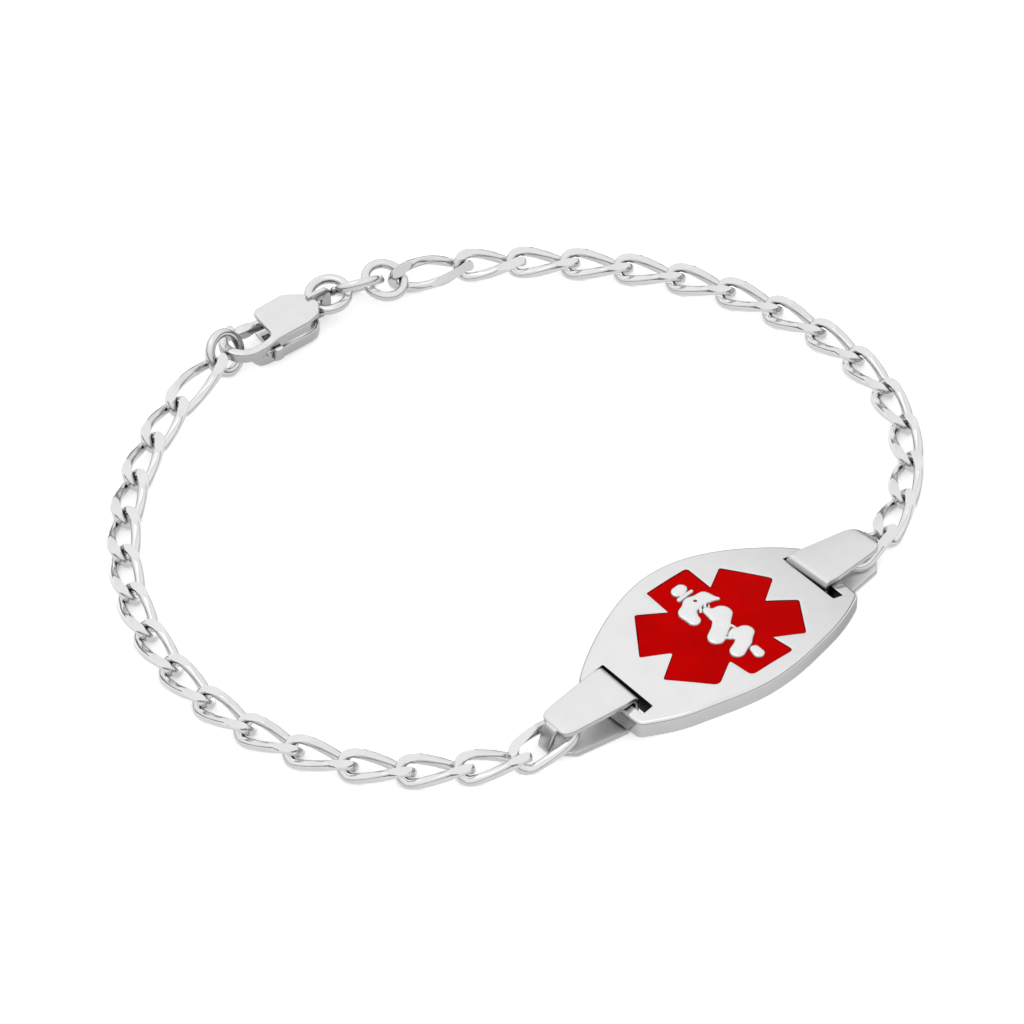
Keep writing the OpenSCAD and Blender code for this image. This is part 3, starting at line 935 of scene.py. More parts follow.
    def outline(self) -> Loop:
        """Gives the plate's outline: two long arcs, square ends, round corners.

        Returns:
            The outline as filed, anticlockwise.
        """
        half, r = self.length / 2, self.corner_radius
        low = self.width / 2 - self.side_radius
        corner = (half - r, low + math.sqrt((self.side_radius - r) ** 2 - (half - r) ** 2))
        lean = heading(plus(corner, (0.0, low), -1.0))
        quarter = arc(corner, r, 0.0, lean, 7)
        long_arc = arc((0.0, low), self.side_radius, lean, 180.0 - lean, 70)
        top = quarter + long_arc[1:-1] + [(-x, y) for x, y in reversed(quarter)]
        return [self.trimmed(x, y) for x, y in refine(tidy(top + [(-x, -y) for x, y in top]), 0.5)]

    def star(self) -> Loop:
        """Gives the six-armed star's outline, cut by hand.

        Returns:
            The outline with its soft corners, anticlockwise.
        """
        loop: Loop = []
        for before, corner, after in around(self.star_points):
            here, size = Vector(corner[:2]), corner[2]
            back, ahead = ((Vector(p[:2]) - here).normalized() * size for p in (before, after))
            loop += [tuple(here + back * (1 - t) ** 2 + ahead * t**2) for t in (0.0, 0.25, 0.5, 0.75, 1.0)]
        return refine(tidy(loop), 0.35)

    def slot(self, end: int) -> Loop:
        """Gives the outline of the slot at one end, -1 or 1, clockwise."""
        loop = rounded(box(self.slot_width, self.slot_length), 0.08, 2)
        return refine([(x + end * self.slot_x, y) for x, y in loop], 0.5)[::-1]

    def build_body(self) -> Shell:
        """Builds the metal plate with its slots and the star's pocket.

        Returns:
            The shell, with the plate's middle over the origin.
        """
        shell, top, floor = Shell(), self.thickness, self.thickness - self.star_depth
        rims = [(self.outline(), self.edge), *((self.slot(end), self.slot_edge) for end in (-1, 1))]
        walls = [shell.wall(line, rim_profile(0.0, top, 0.4 * r, r, 6), self.arched) for line, r in rims]
        pocket = [(-0.045, top), (-0.02, top - 0.008), (0.0, top - 0.04), (0.0, floor)]
        lip, foot = shell.wall(self.star(), pocket, self.arched)
        shell.cap([low for low, _ in walls], 0.0, self.arched, False, 0.7)
        shell.cap([high for _, high in walls] + [lip], top, self.arched, True, 0.45)
        shell.cap([foot], floor, self.arched, True, 0.7)
        return shell

    def build_enamel(self) -> Shell:
        """Builds the enamel, which fills the pocket up to just under the face.

        Returns:
            The shell, with the plate's middle over the origin.
        """
        shell, floor = Shell(), self.thickness - self.star_depth + 0.01
        fill = [inset(self.star(), self.enamel_gap)]
        shell.slab(fill, floor, self.thickness - self.enamel_drop, 0.03, self.arched, 0.4, 2, 0.01)
        return shell

    def form_depth(self, form: tuple[tuple[float, ...], ...], x: float, y: float) -> float:
        """Tells how far a place lies inside one cast form.

        Args:
            form: the tapered bars that melt into the form.
            x: place along the plate.
            y: place across the plate.

        Returns:
            The distance to the form's outline, positive inside.
        """
        inner = -9.0
        for ax, ay, ar, bx, by, br in form:
            wide, tall = bx - ax, by - ay
            t = clamp(((x - ax) * wide + (y - ay) * tall) / (wide**2 + tall**2))
            depth = ar + (br - ar) * t - math.hypot(x - ax - wide * t, y - ay - tall * t)
            melt = max(0.0, 1.0 - abs(depth - inner) / self.melt_reach) ** 2
            inner = max(inner, depth) + self.melt_height * melt
        return inner + self.fuller

    def depths(self, x: float, y: float) -> Point2:
        """Tells how far a place lies inside the staff or serpent, and inside the tongue."""
        *cast, tongue = (self.form_depth(form, x, y) for form in self.forms)
        return max(cast), tongue

    def ridge(self, x: float, y: float) -> float:
        """Gives the height of the twisted tongue's ridges, from 0 to 1."""
        return 0.5 + 0.5 * math.cos((x * self.tongue_way[0] + y * self.tongue_way[1]) * self.tongue_waves)

    def dome(self, depth: float, x: float, y: float) -> float:
        """Gives the pillowed height of a form over the plate's face, with the serpent's eye.

        Args:
            depth: distance to the form's outline.
            x: place along the plate.
            y: place across the plate.

        Returns:
            The height.
        """
        foot = self.relief_rise - self.pillow_drop
        if depth < 0.0:
            return foot + depth * self.skirt_slope
        swell = math.sqrt(1.0 - (1.0 - min(1.0, depth / self.pillow_width)) ** 2)
        eye = max(0.0, 1.0 - (math.dist((x, y), self.eye) / (self.eye_radius + 0.02)) ** 4)
        return foot + self.pillow_height * swell - self.eye_depth * eye

    def relief_height(self, x: float, y: float) -> Optional[float]:
        """Gives the height of the cast relief over the plate's face.

        Args:
            x: place along the plate.
            y: place across the plate.

        Returns:
            The height, or none away from the relief.
        """
        depth, tongue = self.depths(x, y)
        if max(depth, tongue) < -self.relief_skirt:
            return None
        dome = self.dome(depth, x, y)
        if depth >= 0.06 or tongue <= -self.relief_skirt:
            return dome
        low = self.tongue_foot + self.ridge_height * self.ridge(x, y)
        low -= self.tongue_slope * max(0.0, self.tongue_edge - tongue)
        return low if depth < 0.0 else max(low, dome - 0.06)

    def gets_relief_shade(self, middle: Vector, normal: Vector) -> bool:
        """Tells whether a spot of the relief gets near-black painted shade.

        Args:
            middle: the spot, with the plate's middle over the origin.
            normal: its normal; not used.

        Returns:
            True in the eye, and in the grooves of the serpent's tongue.
        """
        x, y, _ = middle
        depth, tongue = self.depths(x, y)
        in_groove = depth < 0.03 and tongue > 0.0 and self.ridge(x, y) < 0.4
        return in_groove or math.dist((x, y), self.eye) < self.eye_radius

    def in_slot(self, middle: Vector, normal: Vector) -> bool:
        """Tells whether a spot of the plate stands in a slot, as its walls do; there it gets near-black
        painted shade.
        """
        across = abs(abs(middle.x) - self.slot_x) < self.slot_width / 2 + 0.03
        return across and abs(middle.y) < self.slot_length / 2 + 0.03 and abs(normal.z) < 0.5

    def build_relief(self) -> Shell:
        """Builds the cast staff and serpent as soft raised forms.

        Returns:
            The shell, with the plate's middle over the origin.
        """
        shell, step = Shell(), self.relief_step
        half_x, low_y, high_y = 2.3, -5.5, 5.4
        numbers: dict[tuple[int, int], int] = {}
        for j, i in product(range(round((high_y - low_y) / step) + 1), range(round(2 * half_x / step) + 1)):
            x, y = i * step - half_x, low_y + j * step
            height = self.relief_height(x, y)
            if height is not None:
                numbers[i, j] = shell.ring([self.arched(x, y, self.thickness + height)])[0]
        for i, j in sorted(numbers):
            cell = [(i, j), (i + 1, j), (i + 1, j + 1), (i, j + 1)]
            if all(spot in numbers for spot in cell):
                shell.faces.append(tuple(numbers[spot] for spot in cell))
        return shell

    def build(self) -> Iterator[str]:
        """Builds and dresses the plate, its enamel and its relief.

        Yields:
            The pieces' names.
        """
        place = self.place()
        # Painted shade: the slot walls, the serpent's eye and its tongue's grooves get the near-black
        # finish.
        shaded_slots, shaded_lines = (PAINTED_HOLLOW_SHADE, self.in_slot), (PAINTED_HOLLOW_SHADE, self.gets_relief_shade)
        body, enamel, relief = self.build_body(), self.build_enamel(), self.build_relief()
        yield body.piece("plate_face", PLATE_SILVER, "plate_silver", place, ["plate"], inlay=shaded_slots)
        yield enamel.piece("star_fill", STAR_ENAMEL, "enamel", place, ["enamel_star"])
        yield relief.piece(
            "staff_and_serpent", RELIEF_SILVER, "plate_silver", place, crease=80.0, inlay=shaded_lines
        )


@dataclass
class Bail:
    """Folded strap loop that goes through one slot of the plate."""

    side: Side
    plate: Plate
    reach: float
    lean: float
    end_height: float
    inner_end: float = 0.0
    strap: float = 0.45
    width: float = 4.5
    end_width: float = 2.9
    neck_width: float = 1.3
    # How much wider the lower and the upper ply bulge, the height between them, and where the bulge
    # begins and how long it takes, from the slot and back from the fold.
    lower_spread: float = 0.9
    upper_spread: float = 0.24
    ply_split: float = 0.5
    spread_start: Point2 = (0.3, 0.8)
    spread_stop: Point2 = (0.8, 0.6)
    fold: float = 0.6
    corner: float = 0.55
    over_gap: float = 0.2

    @property
    def top(self) -> float:
        """Height of the upper ply's face at the slot."""
        p, outer = self.plate, self.plate.slot_x + self.plate.slot_width / 2
        return p.bend_z + math.sqrt(p.bend_radius**2 - outer**2) + self.over_gap + self.strap

    def width_at(self, x: float, z: float) -> float:
        """Gives the strap's width.

        Args:
            x: distance from the slot's middle.
            z: height, which tells the lower ply from the upper one.

        Returns:
            The width there.
        """
        left = self.reach - self.strap - x
        taper = self.width + (self.end_width - self.width) * clamp((x + self.strap) / self.reach)
        cut = 2 * self.corner * (1.0 - math.sqrt(1.0 - (1.0 - clamp(left / self.corner)) ** 2))
        (start, rise), (stop, fall) = self.spread_start, self.spread_stop
        spread = self.lower_spread if z < self.ply_split else self.upper_spread
        spread *= clamp(min((x - start) / rise, (self.reach - stop - x) / fall))
        return spread + (self.neck_width if left < 0.0 else max(self.neck_width, taper - cut))

    def centre_line(self) -> Loop:
        """Lists the middle of the sheet round the loop, as distance and height.

        Returns:
            The points, anticlockwise.
        """
        half = self.strap / 2
        corners = [
            (self.inner_end, half),
            (self.reach + self.lean - half, half),
            (self.reach - half, self.end_height - half),
            (self.inner_end, self.top - half),
        ]
        return refine(tidy(rounded(corners, self.fold - half, 7), 1e-3), 0.14)

    def is_inside(self, middle: Vector, normal: Vector) -> bool:
        """Tells whether a spot of the strap looks into the loop, where it gets painted light.

        Args:
            middle: the spot, from the slot's middle.
            normal: its normal.

        Returns:
            True on the faces of the sheet that look at each other.
        """
        heart = clamp(middle.x, self.strap, self.reach - self.strap)
        way = Vector((heart - middle.x, 0.0, self.end_height / 2 - middle.z)).normalized()
        return abs(normal.y) < 0.6 and normal.dot(way) > 0.3

    def build(self) -> Iterator[str]:
        """Builds and dresses the strap.

        Yields:
            The piece's name.
        """
        line, shell, side, plate = self.centre_line(), Shell(), self.side, self.plate
        sizes = [(self.strap, self.width_at(x, z)) for x, z in line]
        shell.bar([Vector((x, 0.0, z)) for x, z in line], sizes, 0.11, ACROSS, closed=True)
        flip = Matrix.Scale(-1.0 if side is Side.LEFT else 1.0, 4, ALONG)
        in_slot = shift(plate.slot_x, plate.bail_shift[side], 0.0) @ turn("Z", plate.bail_turn[side])
        yield shell.piece(
            side.label("strap_loop"),
            STRAP_SILVER,
            "strap_silver",
            plate.place() @ flip @ in_slot,
            [side.label("bail")],
            # Painted light: the faces inside the loop get a brighter copy of the strap silver.
            inlay=(STRAP_INSIDE_LIT, self.is_inside),
        )


@dataclass
class Chain:
    """Layout of the two strands and the clasp group, as the solids have it."""

    plate: Plate
    pitch: float = 4.5
    clasp_pitch: float = 5.8
    wire: float = 0.82
    width: float = 2.8
    height: float = 1.56
    twist: float = 45.0
    top_cut: float = 0.07
    low_cut: float = 0.03
    # A dressed link's wire, as a share of the solid's, and how square links and rings are: the power
    # of the section, and how far its corners reach, in radii.
    link_share: float = 0.98
    link_square: Point2 = (3.0, 1.1)
    ring_square: Point2 = (2.6, 1.05)
    end_width: float = 3.6
    clasp_width: float = 2.95
    gap: float = 0.16
    floor_play: float = 0.03
    counts: tuple[int, int] = (15, 14)
    ring_wire: float = 0.8
    ring_radius: float = 1.65
    middle_ring_radius: float = 2.0
    middle_ring_tilt: float = 46.0
    ring_play: float = 0.2
    # Where the end links hang in the bails: the fold's inside, height, play and direction in plan.
    bail_neck: float = 6.2
    bail_z: float = 1.275
    end_play: Point2 = (0.9, 1.6)
    end_reach: float = 0.04
    end_rise: Point2 = (-0.05, 0.18)
    end_turn: Point2 = (1.0, 6.0)
    end_twist: float = -14.0
    # Each strand's curve, relative to its start, and its joints' lift and links' roll from the clasp on.
    routes: tuple[tuple[Point2, ...], ...] = (
        ((0.0, 0.0), (-22.3, 7.8), (-19.9, 43.6), (9.8, 51.0)),
        ((0.0, 0.0), (24.2, 10.6), (10.7, 44.6), (-9.7, 49.2)),
    )
    lifts: tuple[tuple[float, ...], ...] = ((0.92, 0.52, 0.24, 0.03), (0.72, 0.32, 0.1))
    rolls: tuple[tuple[float, ...], ...] = ((-8.0, -10.0, -5.0), (58.0, 15.0))
    hook_ring_tilt: float = 62.0
    hook_ring_way: Point2 = (0.966, 0.26)
    clasp_at: Point2 = (6.36412, 0.54)
    tail_x: float = 5.7
    tail_y: float = 0.45
    tail_sheet: float = 0.4
    tail_play: Point2 = (-0.45, 0.15)
    run_turn: float = -16.6
    run_end_turn: float = -15.0
    ring_drop: float = 0.14
    steps: int = 60

    def __post_init__(self) -> None:
        """Lays out the rings, and turns strand and clasp group so that the loop closes."""
        self.lap = (self.wire + self.gap) / 2
        self.totals = [(count - 1) * self.pitch + self.clasp_pitch for count in self.counts]
        self.rulers = [self.ruler(route) for route in self.routes]
        ring_lap = (self.ring_wire + self.gap) / 2
        hang = self.ring_radius - ring_lap
        self.hook_ring_at = plus((0.0, 0.0), self.hook_ring_way, hang)
        tail_end = self.tail_x - self.tail_sheet - self.ring_wire / 2 - self.gap
        tail_ring = plus((tail_end + self.ring_radius, self.tail_y), self.tail_play)
        self.tail_ring_at = plus(self.clasp_at, tail_ring)
        run = 2 * (self.ring_radius + self.middle_ring_radius - 2 * ring_lap - self.ring_play)
        self.middle_ring_at = plus(self.tail_ring_at, ray(self.run_turn, run / 2))
        self.last_ring_at = plus(self.tail_ring_at, ray(self.run_turn, run))
        run_end = plus(self.last_ring_at, ray(self.run_end_turn, 1.015 * hang))
        self.left_end = plus(self.start(Side.LEFT), self.along(Side.LEFT, self.totals[0]))
        chord = self.along(Side.RIGHT, self.totals[1])
        base = plus(self.start(Side.RIGHT), self.left_end, -1.0)
        length, reach = math.hypot(*base), math.hypot(*run_end)
        meet_x = (length**2 + reach**2 - math.hypot(*chord) ** 2) / (2 * length)
        way = spin(heading(base), (meet_x, math.sqrt(reach**2 - meet_x**2)))
        self.right_turn = heading(plus(way, base, -1.0)) - heading(chord)
        self.group_turn = heading(way) - heading(run_end)

    @staticmethod
    def bezier(route: Sequence[Point2], t: float) -> Point2:
        """Gives the point of a cubic curve at a share t of its way."""
        parts = ((1.0 - t) ** 3, 3 * (1.0 - t) ** 2 * t, 3 * (1.0 - t) * t * t, t**3)
        return tuple(sum(w * p[k] for w, p in zip(parts, route)) for k in (0, 1))

    def ruler(self, route: Sequence[Point2]) -> list[float]:
        """Lists the length of a curve up to each of its steps."""
        spots = [self.bezier(route, i / self.steps) for i in range(self.steps + 1)]
        return [0.0, *accumulate(math.dist(a, b) for a, b in zip(spots, spots[1:]))]

    def along(self, side: Side, length: float) -> Point2:
        """Gives the place on a strand's curve at a length along the strand.

        Args:
            side: the strand.
            length: length from the bail.

        Returns:
            The place, relative to the strand's start.
        """
        ruler, total = self.rulers[side], self.totals[side]
        want = length / total * ruler[-1]
        k = max(i for i in range(self.steps) if ruler[i] <= want + 1e-9)
        share = (want - ruler[k]) / (ruler[k + 1] - ruler[k])
        spot = self.bezier(self.routes[side], min(1.0, (k + share) / self.steps))
        return plus((0.0, 0.0), spot, total / ruler[-1])

    def in_bail(self, side: Side) -> Point2:
        """Gives the place where a strand's end link hangs in its bail."""
        hang = ray(self.plate.bail_turn[side], self.bail_neck - self.gap / 2 - self.end_play[side])
        return side.place(plus((self.plate.slot_x, self.plate.bail_shift[side]), hang))

    def start(self, side: Side) -> Point2:
        """Gives a strand's first joint, at the far end of its end link."""
        return plus(self.in_bail(side), side.place(ray(self.end_turn[side], self.pitch)))

    def joint(self, side: Side, index: int) -> Vector:
        """Gives a joint of a strand.

        Args:
            side: the strand.
            index: number of the joint, counted from the bail.

        Returns:
            The joint, with the plate's middle over the origin.
        """
        left = self.counts[side] - index
        spot = self.along(side, index * self.pitch if left else self.totals[side])
        if side is Side.RIGHT:
            spot = spin(self.right_turn, spot)
        lying = self.height / 2 + self.floor_play
        return Vector((*plus(self.start(side), spot), lying + entry(self.lifts[side], left)))

    def link_shell(self, r1: float, t1: float, r2: float, t2: float, pitch: float) -> Shell:
        """Builds one twisted link along X, before its flat cuts.

        Args:
            r1: bow radius at -X.
            t1: twist at -X.
            r2: bow radius at +X.
            t2: twist at +X.
            pitch: distance of its two joints.

        Returns:
            The shell of squared wire.
        """
        end, start = pitch / 2 + self.lap - r2, r1 - pitch / 2 - self.lap
        away = plus((start, r1), (end, r2), -1.0)
        straight = [plus((end, r2), away, k / 9) for k in range(1, 9)]
        bow, back = arc((end, 0.0), r2, -90.0, 90.0, 22), arc((start, 0.0), r1, 90.0, 270.0, 22)
        line = bow + straight + back + [(x, -y) for x, y in reversed(straight)]
        turns = [180.0 * k / 22 for k in range(23)]
        leans = [*(t - 90.0 for t in turns), *[90.0] * 8, *(t + 90.0 for t in turns), *[270.0] * 8]
        twists = [t1 + (t2 - t1) * clamp(x / pitch + 0.5) for x, _ in line]
        spots = [Vector((x, y * cos(twist), y * sin(twist))) for (x, y), twist in zip(line, twists)]
        section = squared_wire(self.link_share * self.wire / 2, *self.link_square)
        rings = []
        for (before, spot, after), lean, twist in zip(around(spots), leans, twists):
            way = (after - before).normalized()
            out = Vector((cos(lean), sin(lean) * cos(twist), sin(lean) * sin(twist)))
            out = (out - way * out.dot(way)).normalized()
            rings.append([spot + out * u + way.cross(out) * v for u, v in section])
        shell = Shell()
        shell.tube(rings, True)
        return shell

    def place_link(self, a: Vector, b: Vector, roll: float) -> Matrix:
        """Gives a link's place from its two joints.

        Args:
            a: joint on the clasp's side.
            b: joint on the bail's side.
            roll: turn about its length.

        Returns:
            The matrix, in millimetres.
        """
        way = b - a
        lie = turn("Z", heading(way)) @ turn("Y", -math.degrees(math.asin(way.z / way.length)))
        return self.plate.place(*(a + b) / 2) @ lie @ turn("X", roll)

    def build_link(self, side: Side, number: int) -> str:
        """Builds and dresses one link.

        Args:
            side: the strand.
            number: the link, counted from the clasp.

        Returns:
            The piece's name.
        """
        widths = (self.width, self.end_width, self.clasp_width)
        bow, end_bow, clasp_bow = ((wide - self.wire) / 2 for wide in widths)
        k = self.counts[side] - number
        if k >= 0:
            a, b = self.joint(side, k + 1), self.joint(side, k)
            roll, next_roll = (entry(self.rolls[side], i) for i in (number - 1, number))
            ends = (clasp_bow if number == 1 else bow, self.twist, bow, next_roll - roll - self.twist)
        else:
            first = self.joint(side, 0)
            hang = Vector((*self.in_bail(side), self.bail_z))
            way = (first - Vector((hang.x, hang.y, first.z))).normalized()
            a, b, roll = first + way * self.end_reach + RISE * self.end_rise[side], hang, 0.0
            ends = ((bow + end_bow) / 2, self.twist, end_bow, self.end_twist)
        return self.link_shell(*ends, (b - a).length).piece(
            side.label(f"chain_link_{number}"),
            CHAIN_SILVER,
            "chain_silver",
            self.place_link(a, b, roll),
            [side.label(f"link_{number}")],
            crease=30.0,
            cuts=(self.height / 2 - self.top_cut, self.low_cut - self.height / 2),
        )

    def group(self) -> Matrix:
        """Gives the place of the clasp group."""
        return self.plate.place(*self.left_end) @ turn("Z", self.group_turn)

    def build_ring(self, name: str, radius: float, place: Matrix) -> str:
        """Builds and dresses one soldered jump ring.

        Args:
            name: the solid that it stands for.
            radius: radius to the middle of the wire.
            place: its place in the clasp group.

        Returns:
            The piece's name.
        """
        section, shell = squared_wire(self.ring_wire / 2, *self.ring_square), Shell()
        outs = [Vector((*ray(360.0 * i / 64, 1.0), 0.0)) for i in range(64)]
        shell.tube([[out * (radius + u) + RISE * v for u, v in section] for out in outs], True)
        return shell.piece(f"{name}_wire", RING_SILVER, "ring_silver", self.group() @ place, [name])

    def build(self) -> Iterator[str]:
        """Builds both strands and the four rings.

        Yields:
            The pieces' names.
        """
        for side in Side:
            for number in range(1, self.counts[side] + 2):
                yield self.build_link(side, number)
        r, middle_r, tilt = self.ring_radius, self.middle_ring_radius, self.middle_ring_tilt
        hook_z = r * sin(self.hook_ring_tilt) + self.ring_wire / 2
        middle_z = middle_r * sin(tilt) + self.ring_wire / 2
        low_z = middle_z - self.ring_drop
        hooked, lay = turn("Z", -75.0) @ turn("Y", self.hook_ring_tilt), turn("Z", self.run_turn)
        rings = (
            ("hook_ring", r, self.hook_ring_at, hook_z, hooked),
            ("tail_ring", r, self.tail_ring_at, low_z, lay @ turn("Y", -8.0) @ turn("X", 8.0)),
            ("middle_ring", middle_r, self.middle_ring_at, middle_z, lay @ turn("X", -tilt)),
            ("chain_ring", r, self.last_ring_at, low_z, lay @ turn("Y", 8.0) @ turn("X", 18.0)),
        )
        for name, radius, spot, z, lie in rings:
            yield self.build_ring(name, radius, shift(*spot, z) @ lie)


@dataclass
class Clasp:
    """Lobster clasp with its lever, measured from the clasp's middle."""

    chain: Chain
    height: float = 2.35
    lift: float = 0.2
    sheet: float = 0.4
    body_x: float = -1.2
    body_length: float = 5.5
    width: float = 4.3
    hook_at: Point2 = (-3.2, -0.05)
    hook_radius: float = 1.72
    hook_width: float = 0.78
    hook_height: float = 1.0
    tail_width: float = 1.0
    tail_bend: float = 0.55
    lever_thickness: float = 0.8
    lever_width: float = 0.76
    lever_gap: float = 0.1
    pin_radius: float = 0.3
    pin_end: float = 0.05
    gate_at: Point2 = (-2.93, 1.48)
    tab_at: Point2 = (-1.3, -1.75)
    notch_at: Point2 = (-1.7, -0.88)
    notch_radius: float = 0.52
    strip_height: float = 0.16
    thumb_start: float = 0.4
    thumb_step: float = 0.11
    thumb_drop: float = 0.22
    eye_wall: float = 0.4
    # Corners of lid and base, as shares of the body's length and width, and the side wall's line.
    sheet_shares: tuple[Point2, ...] = (
        (0.0, -0.48), (0.62, -0.45), (0.84, -0.36), (1.0, -0.09), (0.9, 0.29), (0.64, 0.52), (0.05, 0.47),
    )
    wall: tuple[Point2, ...] = (
        (3.35, -1.35), (2.9, -1.7), (2.2, -1.86), (0.6, -1.9), (-1.2, -1.95), (-2.3, -1.9),
    )
    # Middle height, thickness and height of the side wall, under and over the lever's slit.
    wall_under: tuple[float, float, float] = (0.51, 0.34, 0.98)
    wall_over: tuple[float, float, float] = (1.72, 0.3, 0.74)
    # Corners of the lid's tongue: the inner ones, and the outer ones from the hook arm's outer line.
    tongue_inner: tuple[Point2, ...] = ((-2.45, -1.42), (-2.9, -1.42))
    tongue_outer: tuple[Point2, ...] = ((-2.9, 0.02), (-2.0, 0.01), (-1.0, 0.07))
    # Bars on the line of the hook's arm: its start under the lid, its root on the base, and the stem
    # between them. Each row has a place along, aside and up, how much narrower it is, and its height.
    hook_start: tuple[tuple[float, ...], ...] = (
        (-2.2, 0.0, 1.72, 0.06, 0.68),
        (-2.5, 0.0, 1.64, 0.03, 0.84),
    )
    hook_root: tuple[tuple[float, ...], ...] = (
        (-2.2, 0.0, 0.52, 0.02, 0.96),
        (-2.6, 0.0, 0.6, 0.01, 1.0),
        (-3.1, -0.01, 0.9, 0.0, 0.9),
        (-3.5, 0.06, 1.2, 0.0, 0.6),
    )
    hook_stem: tuple[tuple[float, ...], ...] = tuple((-2.72, 0.0, z, 0.1, 0.8) for z in (0.3, 1.0, 1.8))
    # Sections of the gate's arm and of the thumb block, as width and height.
    arm_sizes: tuple[Point2, ...] = ((0.7, 0.72), (0.92, 0.9), (1.0, 0.96), (1.0, 0.96), (0.9, 0.9))
    thumb_sizes: tuple[Point2, ...] = ((0.78, 1.2), (0.86, 1.3), (0.86, 1.32), (0.8, 1.26), (0.62, 1.08))

    @property
    def pin_at(self) -> Point2:
        """Place of the lever's pivot pin."""
        return (self.body_x + 0.39 * self.body_length, 0.95)

    @property
    def arm_y(self) -> float:
        """Place across of the line of the hook's arm."""
        return self.hook_at[1] - self.hook_radius

    def sheet_outline(self) -> Loop:
        """Gives the outline of the base, and of the lid without its tongue."""
        corners = [(self.body_x + x * self.body_length, y * self.width) for x, y in self.sheet_shares]
        return tidy(rounded(corners, 0.75, 7))

    def lid_outline(self) -> Loop:
        """Gives the outline of the lid, whose tongue runs on into the hook's arm.

        Returns:
            The outline, anticlockwise.
        """
        sheet, root = self.sheet_outline(), self.body_x + 1.0
        arm = self.arm_y - self.hook_width / 2
        start = next(i for i, (x, _) in enumerate(sheet) if x > root)
        lid = [(x, y) for x, y in sheet[start:] if y > 0.0 or x > root]
        notch = arc(self.notch_at, self.notch_radius, 0.0, -80.0, 6)
        tongue = [*self.tongue_inner, *((x, arm + y) for x, y in self.tongue_outer)]
        return refine(tidy(lid + notch + tongue), 0.3)

    @staticmethod
    def sunk(x: float, y: float, z: float) -> Vector:
        """Lets the lid's tongue sink to the height of the hook."""
        t = clamp((-0.9 - x) / 1.7)
        return Vector((x, y, z - 0.3 * t * t * (3 - 2 * t)))

    def on_arm(self, rows: Sequence[Sequence[float]]) -> tuple[list[Vector], list[Point2]]:
        """Gives the middles and sizes of a bar on the line of the hook's arm, from its table."""
        path = [Vector((x, self.arm_y + aside, z)) for x, aside, z, *_ in rows]
        return path, [(self.hook_width - less, tall) for *_, less, tall in rows]

    def add_hook(self, shell: Shell) -> None:
        """Adds the hook, its root on the base and the stem that joins both sheets.

        Args:
            shell: the clasp's shell.
        """
        (x, y), bow, wide, tall = self.hook_at, self.hook_radius, self.hook_width, self.hook_height
        z = self.height - self.sheet + 0.1 - tall / 2
        path, sizes = self.on_arm(self.hook_start)
        path.append(Vector((-2.85, self.arm_y, z)))
        path += [Vector((*spot, z)) for spot in arc(self.hook_at, bow, -90.0, -270.0, 24)]
        path.append(Vector((x + 0.14, y + bow, z)))
        shell.bar(path, [*sizes, *[(wide, tall)] * 26, (wide * 0.9, tall * 0.9)], 0.2)
        shell.bar(*self.on_arm(self.hook_root), 0.16)
        shell.bar(*self.on_arm(self.hook_stem), 0.1, ALONG)

    def add_tail(self, shell: Shell) -> None:
        """Adds the tail strap, which bends down from the lid to the base.

        Args:
            shell: the clasp's shell.
        """
        half, bend = self.sheet / 2, self.tail_bend
        x, start = self.chain.tail_x - bend, self.body_x + self.body_length * 0.88
        line = [(start, half), *arc((x, bend), bend - half, -90.0, 0.0, 6)]
        line += arc((x, self.height - 0.05 - bend), bend - half, 0.0, 90.0, 6)
        line.append((start, self.height - 0.05 - half))
        path = [Vector((tx, self.chain.tail_y, tz)) for tx, tz in line]
        shell.bar(path, [(self.tail_width, self.sheet)], 0.1, ACROSS)

    def build_body(self) -> Shell:
        """Builds the body: lid, base, walls, hook, tail strap and pin.

        Returns:
            The shell, about the clasp's middle.
        """
        shell, high = Shell(), self.height
        shell.slab([self.sheet_outline()], 0.0, self.sheet, 0.12)
        shell.slab([self.lid_outline()], high - self.sheet, high, 0.16, self.sunk, 0.4, lower_edge=0.06)
        self.add_hook(shell)
        walls = ((self.wall, self.wall_under, 0.08), (self.wall[2:], self.wall_over, 0.06))
        for line, (z, thick, tall), corner in walls:
            shell.bar([Vector((x, y, z)) for x, y in line], [(thick, tall)], corner)
        self.add_tail(shell)
        pin = arc(self.pin_at, self.pin_radius, 0.0, 345.0, 23)
        shell.slab([pin], self.pin_end, high - self.pin_end, 0.02)
        return shell

    def build_lever(self) -> Shell:
        """Builds the lever: gate arm, eye on the pin, thumb block on a thin strip.

        Returns:
            The shell, about the clasp's middle.
        """
        shell, z, size = Shell(), self.height / 2, (self.lever_width, self.lever_thickness)
        tip, tab, pin = (Vector((*spot, z)) for spot in (self.gate_at, self.tab_at, self.pin_at))
        arm_end = pin + Vector((-0.62, 0.3, 0.0))
        shell.bar([tip.lerp(arm_end, k / 10) for k in range(11)], [*self.arm_sizes, *[size] * 6], 0.2)
        way = (tab - pin).normalized()
        shell.bar([pin + way * (0.6 + 0.4 * k) for k in range(5)], [size], 0.15)
        strip = [pin + way * 1.8, pin + way * 2.6, tab, tab - Vector((0.02, self.thumb_start, 0.0))]
        shell.bar(strip, [(self.lever_width, self.strip_height)], 0.05)
        outs = [self.thumb_start + self.thumb_step * k for k in range(5)]
        thumb = [tab - Vector((0.0, out, self.thumb_drop)) for out in outs]
        shell.bar(thumb, self.thumb_sizes, 0.14)
        hole, half = self.pin_radius + self.lever_gap, self.lever_thickness / 2
        eye = tidy(arc(self.pin_at, hole + self.eye_wall, 0.0, 352.0, 44))
        shell.slab([eye, arc(self.pin_at, hole, 0.0, 348.0, 29)[::-1]], z - half, z + half, 0.08)
        return shell

